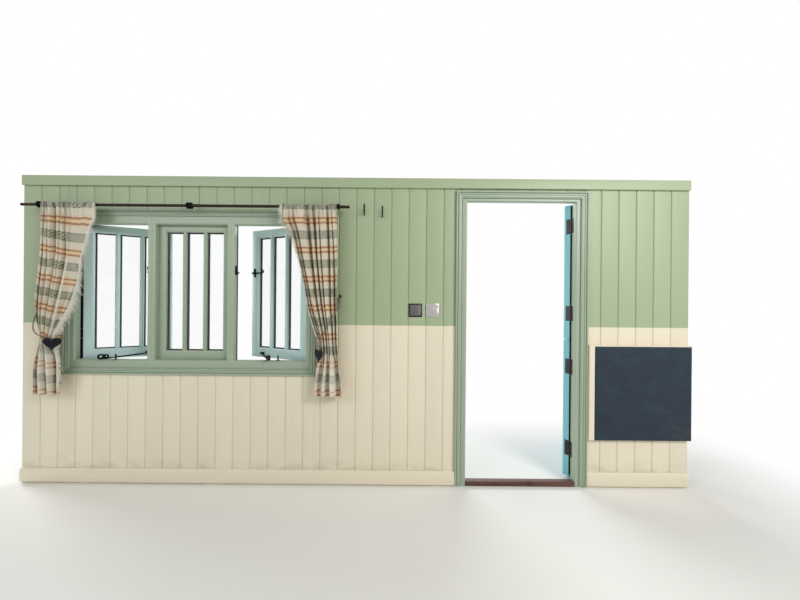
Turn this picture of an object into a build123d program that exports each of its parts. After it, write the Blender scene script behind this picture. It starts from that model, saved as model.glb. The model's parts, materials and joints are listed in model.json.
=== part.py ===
from build123d import *
from math import atan2, cos, degrees, radians, sin
import os

os.makedirs("parts", exist_ok=True)

# Side wall of a shepherds hut with a three-light casement window and a stable door.
# X runs along the wall, +Y points outdoors and +Z up. The origin is on the underside of
# the sole plate, half way along the wall and on the middle plane of the studs.

# Wall build-up
BOARD_COVER = 112
BOARD_COUNT = 38
WALL_LENGTH = BOARD_COUNT * BOARD_COVER
WALL_HEIGHT = 1963
STUD = 50
LINING = 12
CLADDING = 20
FLOOR_FINISH = 14
SKIRTING_HEIGHT = 84
SKIRTING_THICK = 15
CORNICE_HEIGHT = 63
CORNICE_THICK = 15
NOGGIN_HEIGHT = 980

# Window frame, measured between the arrises of its inner face
WINDOW_CENTRE = -1060
WINDOW_CLEAR_WIDTH = 1475
WINDOW_CLEAR_BOTTOM = 791
WINDOW_HEAD_DROP = 226
MULLION = 50
WINDOW_JAMB = 54
WINDOW_HEAD = 77
WINDOW_SILL = 78
REBATE = 15
RUNNING_GAP = 5

# Window sashes
SASH_THICK = 44
SASH_STILE = 52
SASH_TOP_RAIL = 51
SASH_BOTTOM_RAIL = 65
GLASS = 4
LEFT_CASEMENT_ANGLE = 27
RIGHT_CASEMENT_ANGLE = 24
CASEMENT_PIN_RADIUS = 4
CASEMENT_HINGE_HEIGHT = 60
CASEMENT_HINGE_INSET = 130
HINGE_PLATE = 2

# Window ironmongery
FASTENER_HEIGHT = 1372
FASTENER_PLATE = (20, 62)
FASTENER_THICK = 3
LEVER_LENGTH = 90
LEVER_WIDTH = 9
LEVER_NOSE = 20
LEVER_UPTURN = 24
STAY_LENGTH = 290
STAY_WIDTH = 12
STAY_THICK = 6
STAY_CLEAR = 11
STAY_EYE = 8
STAY_CURL = 15
PEG_RADIUS = 3.5
PEG_HEIGHT = 28
PEG_PITCH = 71
LEFT_STAY_PIVOT = 350
RIGHT_STAY_PIVOT = 377
FIRST_PEG_FROM_HINGE = 262
PEG_SETBACK = 17

# Architraves round the window and the doorway
WINDOW_ARCHITRAVE = 40
DOOR_ARCHITRAVE = 46
ARCHITRAVE_BEAD = 16
ARCHITRAVE_FASCIA_THICK = 13
ARCHITRAVE_BEAD_THICK = 19
ARCHITRAVE_LAP = 15
DOOR_ARCHITRAVE_LAP = 13

# Door frame and stable door
DOOR_CENTRE = 1059
DOOR_CLEAR_WIDTH = 700
DOOR_JAMB = 60
DOOR_HEAD = 52
DOOR_HEAD_DROP = 87
THRESHOLD_TOP = 33
THRESHOLD_REBATE = 21
DOOR_THICK = 44
DOOR_BOARD_THICK = 20
DOOR_STILE = 95
DOOR_RAIL = 95
DOOR_BRACE = 80
DOOR_SPLIT = 930
DOOR_OPEN_ANGLE = 150
DOOR_PIN_RADIUS = 5.5
DOOR_HINGE_HEIGHT = 100
DOOR_HINGE_PLATE_WIDTH = 30
DOOR_HINGE_CORE = 3
PIN_CLEARANCE = 0.3
LOWER_HINGE_INSETS = (191, 176)
UPPER_HINGE_INSETS = (173, 144)

# Door furniture
LATCH_CASE = (100, 22, 75)
LATCH_INSET = 18
LATCH_BELOW_SPLIT = 120
KNOB_RADIUS = 24
BOLT_LENGTH = 150
BOLT_WIDTH = 30
BOLT_INSET = 60
BOLT_RADIUS = 5

# Curtain pole and curtains
POLE_CENTRE = -1050
POLE_LENGTH = 2032
POLE_RADIUS = 9
POLE_ABOVE_FRAME = 23
POLE_STAND_OFF = 70
BRACKET_RING = 11
BRACKET_RING_WIDTH = 9
BRACKET_COLLAR_PITCH = 18
BRACKET_PLATE = (44, 18)
BRACKET_PLATE_THICK = 4
BRACKET_RISE = 21
BRACKET_ARM = 4
MIDDLE_BRACKET_SHIFT = 25
CURTAIN_DEPTH = 60
SOFT_CLEARANCE = 0.3
HEADING_ABOVE_POLE = 14
CURTAIN_DROP = 1179

# Edges of each curtain, as distances in from its end of the pole and drops below the pole
LEFT_OUTER_EDGE = [(121, 60), (116, 310), (97, 560), (99, 700), (124, 815), (106, 890), (81, 1020)]
LEFT_INNER_EDGE = [(465, 70), (436, 140), (386, 320), (366, 470), (331, 610), (276, 720), (229, 826),
                   (254, 940), (260, 1060)]
RIGHT_OUTER_EDGE = [(78, 60), (71, 310), (78, 560), (74, 720), (70, 855), (58, 970), (41, 1110)]
RIGHT_INNER_EDGE = [(414, 70), (366, 160), (316, 310), (278, 466), (244, 640), (201, 780), (178, 860),
                    (206, 1000), (215, 1110)]

# Tiebacks, their places given as the curtains' are
TIE_CORD_RADIUS = 2.5
LEFT_TIE_DROP = 830
RIGHT_TIE_DROP = 867
LEFT_HOOK_PLACE = (63, 591)
RIGHT_HOOK_PLACE = (62, 556)
LEFT_CORD_SHOULDER = (96, 790)
RIGHT_CORD_SHOULDER = (62, 616)
CORD_STRAIGHT_START = 20
CORD_BENDS = (8, 25, 11, 11, 25, 8)
HOOK_REACH = 34
HOOK_RADIUS = 4
HEART_WIDTH = 116
HEART_HEIGHT = 80
HEART_THICK = 12
LEFT_HEART_ANGLE = 0
RIGHT_HEART_ANGLE = -53
LEFT_HEART_SHIFT = 11
RIGHT_HEART_SHIFT = 30
RIGHT_HEART_STAND_OFF = 1.7
LEFT_HEART_RISE = 12
RIGHT_HEART_RISE = -6

# Fittings on the inner boards
COAT_HOOK_PLACES = [(50, 200), (166, 212)]
COAT_HOOK_PLATE = (18, 76)
COAT_HOOK_THICK = 5
COAT_HOOK_REACH = 36
SWITCH_PLATE = 86
SWITCH_THICK = 9
BLACK_SWITCH = (381, 1123)
CHROME_SWITCH = (492, 1123)
SHIELD_LEFT = 1515
SHIELD_BOTTOM = 312
SHIELD_TOP = 905
SHIELD_THICK = 20
SHIELD_SPACER = 10
SHIELD_SPACER_HEIGHT = 40
SHIELD_SIDE_TRIM = 32
SHIELD_TOP_TRIM = 8

# Planes and edges that the pieces share
LEFT_END = -WALL_LENGTH / 2
RIGHT_END = WALL_LENGTH / 2
STUD_INNER = -STUD / 2
STUD_OUTER = STUD / 2
ROOM_FACE = STUD_INNER - LINING
OUTSIDE_FACE = STUD_OUTER + CLADDING

FRAME_TOP = WALL_HEIGHT - WINDOW_HEAD_DROP
WINDOW_CLEAR_TOP = FRAME_TOP - WINDOW_HEAD
WINDOW_LEFT = WINDOW_CENTRE - WINDOW_CLEAR_WIDTH / 2
WINDOW_RIGHT = WINDOW_CENTRE + WINDOW_CLEAR_WIDTH / 2
FRAME_LEFT = WINDOW_LEFT - WINDOW_JAMB
FRAME_RIGHT = WINDOW_RIGHT + WINDOW_JAMB
FRAME_BOTTOM = WINDOW_CLEAR_BOTTOM - WINDOW_SILL
LIGHT_WIDTH = (WINDOW_CLEAR_WIDTH - 2 * MULLION) / 3
LIGHT_LEFTS = [WINDOW_LEFT + i * (LIGHT_WIDTH + MULLION) for i in range(3)]
SASH_INNER = OUTSIDE_FACE - SASH_THICK
SASH_LAP = REBATE - RUNNING_GAP

DOOR_LEFT = DOOR_CENTRE - DOOR_CLEAR_WIDTH / 2
DOOR_RIGHT = DOOR_CENTRE + DOOR_CLEAR_WIDTH / 2
DOOR_FRAME_LEFT = DOOR_LEFT - DOOR_JAMB
DOOR_FRAME_RIGHT = DOOR_RIGHT + DOOR_JAMB
DOOR_FRAME_TOP = WALL_HEIGHT - DOOR_HEAD_DROP
DOOR_CLEAR_TOP = DOOR_FRAME_TOP - DOOR_HEAD
DOOR_STOP = OUTSIDE_FACE - DOOR_THICK - RUNNING_GAP
LEAF_LEFT = DOOR_LEFT - SASH_LAP
LEAF_RIGHT = DOOR_RIGHT + SASH_LAP
LEAF_BOTTOM = THRESHOLD_TOP - THRESHOLD_REBATE + RUNNING_GAP
LEAF_TOP = DOOR_CLEAR_TOP + SASH_LAP
DOOR_PIN = (LEAF_RIGHT + RUNNING_GAP / 2, OUTSIDE_FACE + DOOR_PIN_RADIUS)

POLE_Y = ROOM_FACE - POLE_STAND_OFF
POLE_HEIGHT = FRAME_TOP + POLE_ABOVE_FRAME
POLE_LEFT = POLE_CENTRE - POLE_LENGTH / 2
POLE_RIGHT = POLE_CENTRE + POLE_LENGTH / 2
CURTAIN_FRONT = POLE_Y - CURTAIN_DEPTH / 2
CURTAIN_BACK = POLE_Y + CURTAIN_DEPTH / 2


def block(x0, x1, y0, y1, z0, z1):
    """A box given by its faces."""
    centre = Pos((x0 + x1) / 2, (y0 + y1) / 2, (z0 + z1) / 2)
    return centre * Box(x1 - x0, y1 - y0, z1 - z0)


def prism(outline, y0, y1):
    """An outline of X and Z points, run through the wall from y0 to y1."""
    edge = Polyline(*[(x, y0, z) for x, z in outline], close=True)
    return extrude(make_face(edge), amount=y1 - y0, dir=(0, 1, 0))


def upright(x, y, z0, z1, radius):
    """A round bar that stands up."""
    return Pos(x, y, (z0 + z1) / 2) * Cylinder(radius, z1 - z0)


def level(x0, x1, y, z, radius):
    """A round bar that lies along the wall."""
    return Pos((x0 + x1) / 2, y, z) * Rot(0, 90, 0) * Cylinder(radius, x1 - x0)


def peg(x, y0, y1, z, radius):
    """A round bar that stands out from the wall."""
    return Pos(x, (y0 + y1) / 2, z) * Rot(90, 0, 0) * Cylinder(radius, y1 - y0)


def turn(shape, pin, angle):
    """Swings a shape about an upright pin."""
    return shape.rotate(Axis((pin[0], pin[1], 0), (0, 0, 1)), angle)


def save(node, *pieces):
    """Writes a node from its pieces."""
    solids = [solid for piece in pieces for solid in piece.solids()]
    export_step(solids[0] if len(solids) == 1 else Compound(solids), f"parts/{node}.step")


def spread(start, end, count):
    """Left edges of studs spaced evenly between two others."""
    step = (end - start - STUD) / (count + 1)
    return [start + step * (i + 1) for i in range(count)]


# Stud frame
def full_studs(lefts):
    return [block(x, x + STUD, STUD_INNER, STUD_OUTER, STUD, WALL_HEIGHT - STUD) for x in lefts]


def rails(spans, bottom):
    return [block(x0, x1, STUD_INNER, STUD_OUTER, bottom, bottom + STUD) for x0, x1 in spans]


save("sole_plates",
     block(LEFT_END, DOOR_FRAME_LEFT, STUD_INNER, STUD_OUTER, 0, STUD),
     block(DOOR_FRAME_RIGHT, RIGHT_END, STUD_INNER, STUD_OUTER, 0, STUD))
save("head_plate",
     block(LEFT_END, RIGHT_END, STUD_INNER, STUD_OUTER, WALL_HEIGHT - STUD, WALL_HEIGHT))
save("end_studs", *full_studs([LEFT_END, RIGHT_END - STUD]))

window_studs = [FRAME_LEFT - STUD, FRAME_RIGHT]
door_studs = [DOOR_FRAME_LEFT - STUD, DOOR_FRAME_RIGHT]
between_openings = spread(FRAME_RIGHT, DOOR_FRAME_LEFT - STUD, 1)
beside_door = spread(DOOR_FRAME_RIGHT, RIGHT_END - STUD, 1)
mullion_studs = [left + LIGHT_WIDTH + (MULLION - STUD) / 2 for left in LIGHT_LEFTS[:2]]
short_studs = []
for x in mullion_studs:
    short_studs.append(block(x, x + STUD, STUD_INNER, STUD_OUTER, STUD, FRAME_BOTTOM - STUD))
    short_studs.append(block(x, x + STUD, STUD_INNER, STUD_OUTER, FRAME_TOP + STUD, WALL_HEIGHT - STUD))
save("inner_studs", *full_studs(window_studs + door_studs + between_openings + beside_door), *short_studs)

bays = [(LEFT_END + STUD, window_studs[0]),
        (FRAME_RIGHT + STUD, between_openings[0]),
        (between_openings[0] + STUD, door_studs[0]),
        (DOOR_FRAME_RIGHT + STUD, beside_door[0]),
        (beside_door[0] + STUD, RIGHT_END - STUD)]
save("cross_rails",
     *rails(bays, NOGGIN_HEIGHT),
     *rails([(FRAME_LEFT, FRAME_RIGHT)], FRAME_BOTTOM - STUD),
     *rails([(FRAME_LEFT, FRAME_RIGHT)], FRAME_TOP),
     block(DOOR_FRAME_LEFT, DOOR_FRAME_RIGHT, STUD_INNER, STUD_OUTER, DOOR_FRAME_TOP, WALL_HEIGHT - STUD))


# Boards, left of the window, over and under it, between the openings, over the door and beside it
def board_areas(y0, y1):
    return {"left": block(LEFT_END, FRAME_LEFT, y0, y1, 0, WALL_HEIGHT),
            "over_window": block(FRAME_LEFT, FRAME_RIGHT, y0, y1, FRAME_TOP, WALL_HEIGHT),
            "under_window": block(FRAME_LEFT, FRAME_RIGHT, y0, y1, 0, FRAME_BOTTOM),
            "middle": block(FRAME_RIGHT, DOOR_FRAME_LEFT, y0, y1, 0, WALL_HEIGHT),
            "over_door": block(DOOR_FRAME_LEFT, DOOR_FRAME_RIGHT, y0, y1, DOOR_FRAME_TOP, WALL_HEIGHT),
            "right": block(DOOR_FRAME_RIGHT, RIGHT_END, y0, y1, 0, WALL_HEIGHT)}


for area, slab in board_areas(ROOM_FACE, STUD_INNER).items():
    save(f"inner_boards_{area}", slab)
outer = board_areas(STUD_OUTER, OUTSIDE_FACE)
save("outer_boards_beside_openings", outer["left"], outer["middle"], outer["right"])
save("outer_boards_over_openings", outer["over_window"], outer["over_door"])
save("outer_boards_under_window", outer["under_window"])

# Cornice board and skirting
door_trim_left = DOOR_FRAME_LEFT - DOOR_ARCHITRAVE_LAP
door_trim_right = DOOR_FRAME_RIGHT + DOOR_ARCHITRAVE_LAP
save("cornice_board",
     block(LEFT_END, RIGHT_END, ROOM_FACE - CORNICE_THICK, ROOM_FACE, WALL_HEIGHT - CORNICE_HEIGHT, WALL_HEIGHT))
skirting_faces = (ROOM_FACE - SKIRTING_THICK, ROOM_FACE, FLOOR_FINISH, FLOOR_FINISH + SKIRTING_HEIGHT)
save("skirting",
     block(LEFT_END, door_trim_left, *skirting_faces),
     block(door_trim_right, RIGHT_END, *skirting_faces))


# Frame members are rebated on the outdoor side of the stop
def rebated(x0, x1, z0, z1, stop, cut):
    """A frame member with one corner cut away outdoors of the stop, on the side named."""
    rebates = {"right": (x1 - REBATE, x1, z0, z1), "left": (x0, x0 + REBATE, z0, z1),
               "down": (x0, x1, z0, z0 + REBATE), "up": (x0, x1, z1 - REBATE, z1)}
    member = block(x0, x1, ROOM_FACE, OUTSIDE_FACE, z0, z1)
    for side in cut:
        a, b, c, d = rebates[side]
        member -= block(a, b, stop, OUTSIDE_FACE, c, d)
    return member


save("window_jambs",
     rebated(FRAME_LEFT, WINDOW_LEFT, WINDOW_CLEAR_BOTTOM, WINDOW_CLEAR_TOP, SASH_INNER, ["right"]),
     rebated(WINDOW_RIGHT, FRAME_RIGHT, WINDOW_CLEAR_BOTTOM, WINDOW_CLEAR_TOP, SASH_INNER, ["left"]))
save("window_mullions",
     *[rebated(left + LIGHT_WIDTH, left + LIGHT_WIDTH + MULLION, WINDOW_CLEAR_BOTTOM, WINDOW_CLEAR_TOP,
               SASH_INNER, ["left", "right"]) for left in LIGHT_LEFTS[:2]])


def window_rail(z0, z1, edge):
    """The frame's head or sill, with a rebate cut for each light."""
    rail = block(FRAME_LEFT, FRAME_RIGHT, ROOM_FACE, OUTSIDE_FACE, z0, z1)
    low, high = (z0, z0 + REBATE) if edge == "down" else (z1 - REBATE, z1)
    for left in LIGHT_LEFTS:
        rail -= block(left - REBATE, left + LIGHT_WIDTH + REBATE, SASH_INNER, OUTSIDE_FACE, low, high)
    return rail


save("window_head", window_rail(WINDOW_CLEAR_TOP, FRAME_TOP, "down"))
save("window_sill", window_rail(FRAME_BOTTOM, WINDOW_CLEAR_BOTTOM, "up"))


# Sashes, each made shut and then swung about the pin of its hinges
def sash(light_left):
    x0 = light_left - SASH_LAP
    x1 = light_left + LIGHT_WIDTH + SASH_LAP
    z0 = WINDOW_CLEAR_BOTTOM - SASH_LAP
    z1 = WINDOW_CLEAR_TOP + SASH_LAP
    pane = (x0 + SASH_STILE, x1 - SASH_STILE, z0 + SASH_BOTTOM_RAIL, z1 - SASH_TOP_RAIL)
    ring = block(x0, x1, SASH_INNER, OUTSIDE_FACE, z0, z1)
    ring -= block(pane[0], pane[1], SASH_INNER, OUTSIDE_FACE, pane[2], pane[3])
    middle = (SASH_INNER + OUTSIDE_FACE) / 2
    glass = block(pane[0], pane[1], middle - GLASS / 2, middle + GLASS / 2, pane[2], pane[3])
    return ring, glass


casement_y = OUTSIDE_FACE + CASEMENT_PIN_RADIUS
left_pin = (LIGHT_LEFTS[0] - REBATE + RUNNING_GAP / 2, casement_y)
right_pin = (LIGHT_LEFTS[2] + LIGHT_WIDTH + REBATE - RUNNING_GAP / 2, casement_y)
left_sash, left_glass = sash(LIGHT_LEFTS[0])
middle_sash, middle_glass = sash(LIGHT_LEFTS[1])
right_sash, right_glass = sash(LIGHT_LEFTS[2])
save("left_casement", turn(left_sash, left_pin, LEFT_CASEMENT_ANGLE))
save("middle_light", middle_sash)
save("right_casement", turn(right_sash, right_pin, -RIGHT_CASEMENT_ANGLE))
save("window_glass", turn(left_glass, left_pin, LEFT_CASEMENT_ANGLE), middle_glass,
     turn(right_glass, right_pin, -RIGHT_CASEMENT_ANGLE))


def casement_hinge(pin, side, swing, bottom):
    """A butt hinge. Side is 1 where the sash lies to the right of the pin, and -1 to the left."""
    top = bottom + CASEMENT_HINGE_HEIGHT
    plate_inner = SASH_INNER + SASH_THICK / 3
    sash_edge = pin[0] + side * RUNNING_GAP / 2
    jamb_edge = pin[0] - side * RUNNING_GAP / 2
    knuckle = upright(pin[0], pin[1], bottom, top, CASEMENT_PIN_RADIUS)
    fixed = block(*sorted((jamb_edge, jamb_edge + side * HINGE_PLATE)), plate_inner, pin[1], bottom, top)
    moving = block(*sorted((sash_edge - side * HINGE_PLATE, sash_edge)), plate_inner, pin[1], bottom, top)
    return knuckle + fixed + turn(moving, pin, swing)


hinge_bottoms = (WINDOW_CLEAR_BOTTOM + CASEMENT_HINGE_INSET,
                 WINDOW_CLEAR_TOP - CASEMENT_HINGE_INSET - CASEMENT_HINGE_HEIGHT)
save("casement_hinges",
     *[casement_hinge(left_pin, 1, LEFT_CASEMENT_ANGLE, z) for z in hinge_bottoms],
     *[casement_hinge(right_pin, -1, -RIGHT_CASEMENT_ANGLE, z) for z in hinge_bottoms])


# Casement fasteners: a plate and lever on the free stile, and a hook plate on the mullion
def fastener(pin, side, swing):
    """Side is 1 where the sash lies to the right of its pin. The lever lies level, its end turned up."""
    stile = pin[0] + side * (RUNNING_GAP / 2 + LIGHT_WIDTH + 2 * SASH_LAP - SASH_STILE / 2)
    half_width, half_height = FASTENER_PLATE[0] / 2, FASTENER_PLATE[1] / 2
    front = SASH_INNER - FASTENER_THICK
    boss_front = front - 2 * FASTENER_THICK
    lever_front = boss_front - FASTENER_THICK
    low, high = FASTENER_HEIGHT - LEVER_WIDTH / 2, FASTENER_HEIGHT + LEVER_WIDTH / 2
    end = stile - side * LEVER_LENGTH
    plate = block(stile - half_width, stile + half_width, front, SASH_INNER,
                  FASTENER_HEIGHT - half_height, FASTENER_HEIGHT + half_height)
    boss = peg(stile, boss_front, front, FASTENER_HEIGHT, LEVER_WIDTH)
    lever = block(*sorted((stile + side * LEVER_NOSE, end)), lever_front, boss_front, low, high)
    upturn = block(*sorted((end, end + side * LEVER_WIDTH)), lever_front, boss_front, low, low + LEVER_UPTURN)
    return turn(plate + boss + lever + upturn, pin, swing)


def hook_plate(reveal, side):
    """A plate on the mullion's reveal, with a lip that the lever's nose draws against."""
    half_height = FASTENER_PLATE[1] / 2
    y0, y1 = ROOM_FACE + FASTENER_THICK, SASH_INNER - FASTENER_THICK
    plate = block(*sorted((reveal, reveal - side * FASTENER_THICK)), y0, y1,
                  FASTENER_HEIGHT - half_height, FASTENER_HEIGHT + half_height)
    lip = block(*sorted((reveal, reveal - side * 4 * FASTENER_THICK)), y0, y0 + FASTENER_THICK,
                FASTENER_HEIGHT - half_height / 2, FASTENER_HEIGHT + half_height / 2)
    return plate + lip


save("casement_fasteners",
     fastener(left_pin, 1, LEFT_CASEMENT_ANGLE), hook_plate(LIGHT_LEFTS[0] + LIGHT_WIDTH, 1),
     fastener(right_pin, -1, -RIGHT_CASEMENT_ANGLE), hook_plate(LIGHT_LEFTS[2], -1))


# Casement stays: a flat bar from the sash's bottom rail over the sill, and two pegs
def swung_point(pin, side, along, off, swing):
    """A point of the swung sash, along it from the pin and off the plane of the pin."""
    angle = radians(swing)
    dx, dy = side * along, -off
    return (pin[0] + dx * cos(angle) - dy * sin(angle), pin[1] + dx * sin(angle) + dy * cos(angle))


def peg_place(pin, side, from_hinge):
    """X and Y of a peg on the sill."""
    return pin[0] + side * from_hinge, ROOM_FACE + PEG_SETBACK


def stay(pin, side, along, swing):
    """The bar lies over the sill, with the first peg standing in its eye, and ends in a ring."""
    off = casement_y - SASH_INNER
    foot = swung_point(pin, side, along, off, swing)
    start = swung_point(pin, side, along, off + STAY_WIDTH / 2, swing)
    eye = peg_place(pin, side, FIRST_PEG_FROM_HINGE)
    heading = atan2(eye[1] - start[1], eye[0] - start[0])
    end = (start[0] + STAY_LENGTH * cos(heading), start[1] + STAY_LENGTH * sin(heading))
    bottom = WINDOW_CLEAR_BOTTOM + STAY_CLEAR
    top = bottom + STAY_THICK
    middle = Pos((start[0] + end[0]) / 2, (start[1] + end[1]) / 2, (bottom + top) / 2)
    bar = middle * Rot(0, 0, degrees(heading)) * Box(STAY_LENGTH, STAY_WIDTH, STAY_THICK)
    bar += upright(*eye, bottom, top, STAY_EYE) - upright(*eye, bottom, top, PEG_RADIUS + 1)
    bar -= upright(*eye, bottom, top, PEG_RADIUS + 1)
    post = Pos((foot[0] + start[0]) / 2, (foot[1] + start[1]) / 2, top)
    bracket = post * Rot(0, 0, swing) * Box(3 * STAY_WIDTH, STAY_WIDTH / 2, 3 * STAY_THICK)
    ring = Cylinder(STAY_CURL, STAY_THICK) - Cylinder(STAY_CURL - STAY_THICK, STAY_THICK)
    curl = Pos(end[0], end[1], bottom + STAY_CURL) * Rot(0, 0, degrees(heading)) * Rot(90, 0, 0) * ring
    return bar + bracket + curl


def sill_pegs(pin, side):
    pegs = []
    for from_hinge in (FIRST_PEG_FROM_HINGE, FIRST_PEG_FROM_HINGE - PEG_PITCH):
        x, y = peg_place(pin, side, from_hinge)
        base = block(x - STAY_WIDTH, x + STAY_WIDTH, y - STAY_WIDTH / 2, y + STAY_WIDTH / 2,
                     WINDOW_CLEAR_BOTTOM, WINDOW_CLEAR_BOTTOM + FASTENER_THICK)
        pegs.append(base + upright(x, y, WINDOW_CLEAR_BOTTOM, WINDOW_CLEAR_BOTTOM + PEG_HEIGHT, PEG_RADIUS))
    return pegs


save("casement_stays",
     stay(left_pin, 1, LEFT_STAY_PIVOT, LEFT_CASEMENT_ANGLE), *sill_pegs(left_pin, 1),
     stay(right_pin, -1, RIGHT_STAY_PIVOT, -RIGHT_CASEMENT_ANGLE), *sill_pegs(right_pin, -1))


# Architraves: a flat fascia with a thicker bead round its outer edge, mitred at the corners
def corners(x0, x1, z0, z1, side, foot):
    return [(x0 + side, z0 + foot), (x1 - side, z0 + foot), (x1 - side, z1 - side), (x0 + side, z1 - side)]


def architrave(x0, x1, z0, z1, width, edges, foot=1):
    """The bars on the edges asked for. Foot is 0 where the legs stand on the floor unmitred."""
    outer_line = corners(x0, x1, z0, z1, 0, 0)
    bead_line = corners(x0, x1, z0, z1, ARCHITRAVE_BEAD, foot * ARCHITRAVE_BEAD)
    inner_line = corners(x0, x1, z0, z1, width, foot * width)
    bars = []
    for first in edges:
        last = (first + 1) % 4
        fascia = prism([outer_line[first], outer_line[last], inner_line[last], inner_line[first]],
                       ROOM_FACE - ARCHITRAVE_FASCIA_THICK, ROOM_FACE)
        bead = prism([outer_line[first], outer_line[last], bead_line[last], bead_line[first]],
                     ROOM_FACE - ARCHITRAVE_BEAD_THICK, ROOM_FACE)
        bars.append(fascia + bead)
    return bars


BOTTOM, RIGHT_SIDE, TOP, LEFT_SIDE = range(4)
window_trim = (FRAME_LEFT - ARCHITRAVE_LAP, FRAME_RIGHT + ARCHITRAVE_LAP,
               FRAME_BOTTOM - ARCHITRAVE_LAP, FRAME_TOP + ARCHITRAVE_LAP, WINDOW_ARCHITRAVE)
door_trim = (door_trim_left, door_trim_right, FLOOR_FINISH, DOOR_FRAME_TOP + DOOR_ARCHITRAVE_LAP,
             DOOR_ARCHITRAVE)
save("window_architrave_sides", *architrave(*window_trim, [RIGHT_SIDE, LEFT_SIDE]))
save("window_architrave_rails", *architrave(*window_trim, [BOTTOM, TOP]))
save("door_architrave_sides", *architrave(*door_trim, [RIGHT_SIDE, LEFT_SIDE], foot=0))
save("door_architrave_head", *architrave(*door_trim, [TOP], foot=0))

# Door frame
save("door_jambs",
     rebated(DOOR_FRAME_LEFT, DOOR_LEFT, 0, DOOR_CLEAR_TOP, DOOR_STOP, ["right"]),
     rebated(DOOR_RIGHT, DOOR_FRAME_RIGHT, 0, DOOR_CLEAR_TOP, DOOR_STOP, ["left"]))
door_head = block(DOOR_FRAME_LEFT, DOOR_FRAME_RIGHT, ROOM_FACE, OUTSIDE_FACE, DOOR_CLEAR_TOP, DOOR_FRAME_TOP)
door_head -= block(DOOR_LEFT - REBATE, DOOR_RIGHT + REBATE, DOOR_STOP, OUTSIDE_FACE,
                   DOOR_CLEAR_TOP, DOOR_CLEAR_TOP + REBATE)
save("door_head", door_head)
threshold = block(DOOR_LEFT, DOOR_RIGHT, ROOM_FACE, DOOR_STOP, 0, THRESHOLD_TOP)
threshold += block(DOOR_LEFT - REBATE, DOOR_RIGHT + REBATE, DOOR_STOP, OUTSIDE_FACE,
                   0, THRESHOLD_TOP - THRESHOLD_REBATE)
save("door_threshold", threshold)


# Stable door, each leaf made shut and then swung about the pins of its hinges
def leaf_boards(z0, z1):
    return block(LEAF_LEFT, LEAF_RIGHT, OUTSIDE_FACE - DOOR_BOARD_THICK, OUTSIDE_FACE, z0, z1)


def leaf_frame(z0, z1):
    """Stiles, rails and a diagonal brace on the room side of the boards."""
    y0, y1 = OUTSIDE_FACE - DOOR_THICK, OUTSIDE_FACE - DOOR_BOARD_THICK
    inner = (LEAF_LEFT + DOOR_STILE, LEAF_RIGHT - DOOR_STILE, z0 + DOOR_RAIL, z1 - DOOR_RAIL)
    frame = block(LEAF_LEFT, LEAF_RIGHT, y0, y1, z0, z1) - block(inner[0], inner[1], y0, y1, inner[2], inner[3])
    brace = prism([(inner[1], inner[2]), (inner[1], inner[2] + DOOR_BRACE),
                   (inner[0] + DOOR_BRACE, inner[3]), (inner[0], inner[3]),
                   (inner[0], inner[3] - DOOR_BRACE), (inner[1] - DOOR_BRACE, inner[2])], y0, y1)
    return frame + brace


def hinge_heights(z0, z1, insets):
    return [z0 + insets[0], z1 - insets[1]]


def butt_hinge(middle, fixed):
    """Half of a lift-off butt hinge: the fixed half carries the core that the other half turns on."""
    bottom, top = middle - DOOR_HINGE_HEIGHT / 2, middle + DOOR_HINGE_HEIGHT / 2
    x, y = DOOR_PIN
    side = 1 if fixed else -1
    face = x + side * RUNNING_GAP / 2
    plate_x = sorted((face, face - side * HINGE_PLATE))
    inner = OUTSIDE_FACE - DOOR_HINGE_PLATE_WIDTH
    plate = block(*plate_x, inner, OUTSIDE_FACE - PIN_CLEARANCE, bottom, top)
    low, high = (bottom, middle - PIN_CLEARANCE) if fixed else (middle + PIN_CLEARANCE, top)
    half = plate + upright(x, y, low, high, DOOR_PIN_RADIUS) + block(*plate_x, inner, y, low, high)
    if fixed:
        return half + upright(x, y, bottom, top, DOOR_HINGE_CORE)
    return half - upright(x, y, low, high, DOOR_HINGE_CORE + PIN_CLEARANCE)


lower_leaf = (LEAF_BOTTOM, DOOR_SPLIT)
upper_leaf = (DOOR_SPLIT + RUNNING_GAP, LEAF_TOP)
lower_hinges = hinge_heights(*lower_leaf, LOWER_HINGE_INSETS)
upper_hinges = hinge_heights(*upper_leaf, UPPER_HINGE_INSETS)
save("door_hinge_frame_plates", *[butt_hinge(z, True) for z in lower_hinges + upper_hinges])


def swung(shape):
    """Swings a piece of the stable door out from shut to where it rests."""
    return turn(shape, DOOR_PIN, -DOOR_OPEN_ANGLE)


for name, leaf, heights in (("lower", lower_leaf, lower_hinges), ("upper", upper_leaf, upper_hinges)):
    save(f"{name}_door_boards", swung(leaf_boards(*leaf)))
    save(f"{name}_door_frame", swung(leaf_frame(*leaf)))
    save(f"{name}_door_hinge_plates", *[swung(butt_hinge(z, False)) for z in heights])

# Rim latch of the lower leaf and barrel bolt of the upper one, on the free stile
room_side = OUTSIDE_FACE - DOOR_THICK
latch_z = DOOR_SPLIT - LATCH_BELOW_SPLIT
latch_left = LEAF_LEFT + LATCH_INSET
case = block(latch_left, latch_left + LATCH_CASE[0], room_side - LATCH_CASE[1], room_side,
             latch_z - LATCH_CASE[2] / 2, latch_z + LATCH_CASE[2] / 2)
knob_x = latch_left + LATCH_CASE[0] * 0.6
inner_knob = peg(knob_x, room_side - LATCH_CASE[1] - KNOB_RADIUS, room_side - LATCH_CASE[1], latch_z, KNOB_RADIUS / 2)
inner_knob += Pos(knob_x, room_side - LATCH_CASE[1] - 1.5 * KNOB_RADIUS, latch_z) * Sphere(KNOB_RADIUS)
rose = peg(knob_x, OUTSIDE_FACE, OUTSIDE_FACE + KNOB_RADIUS / 6, latch_z, KNOB_RADIUS)
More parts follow.
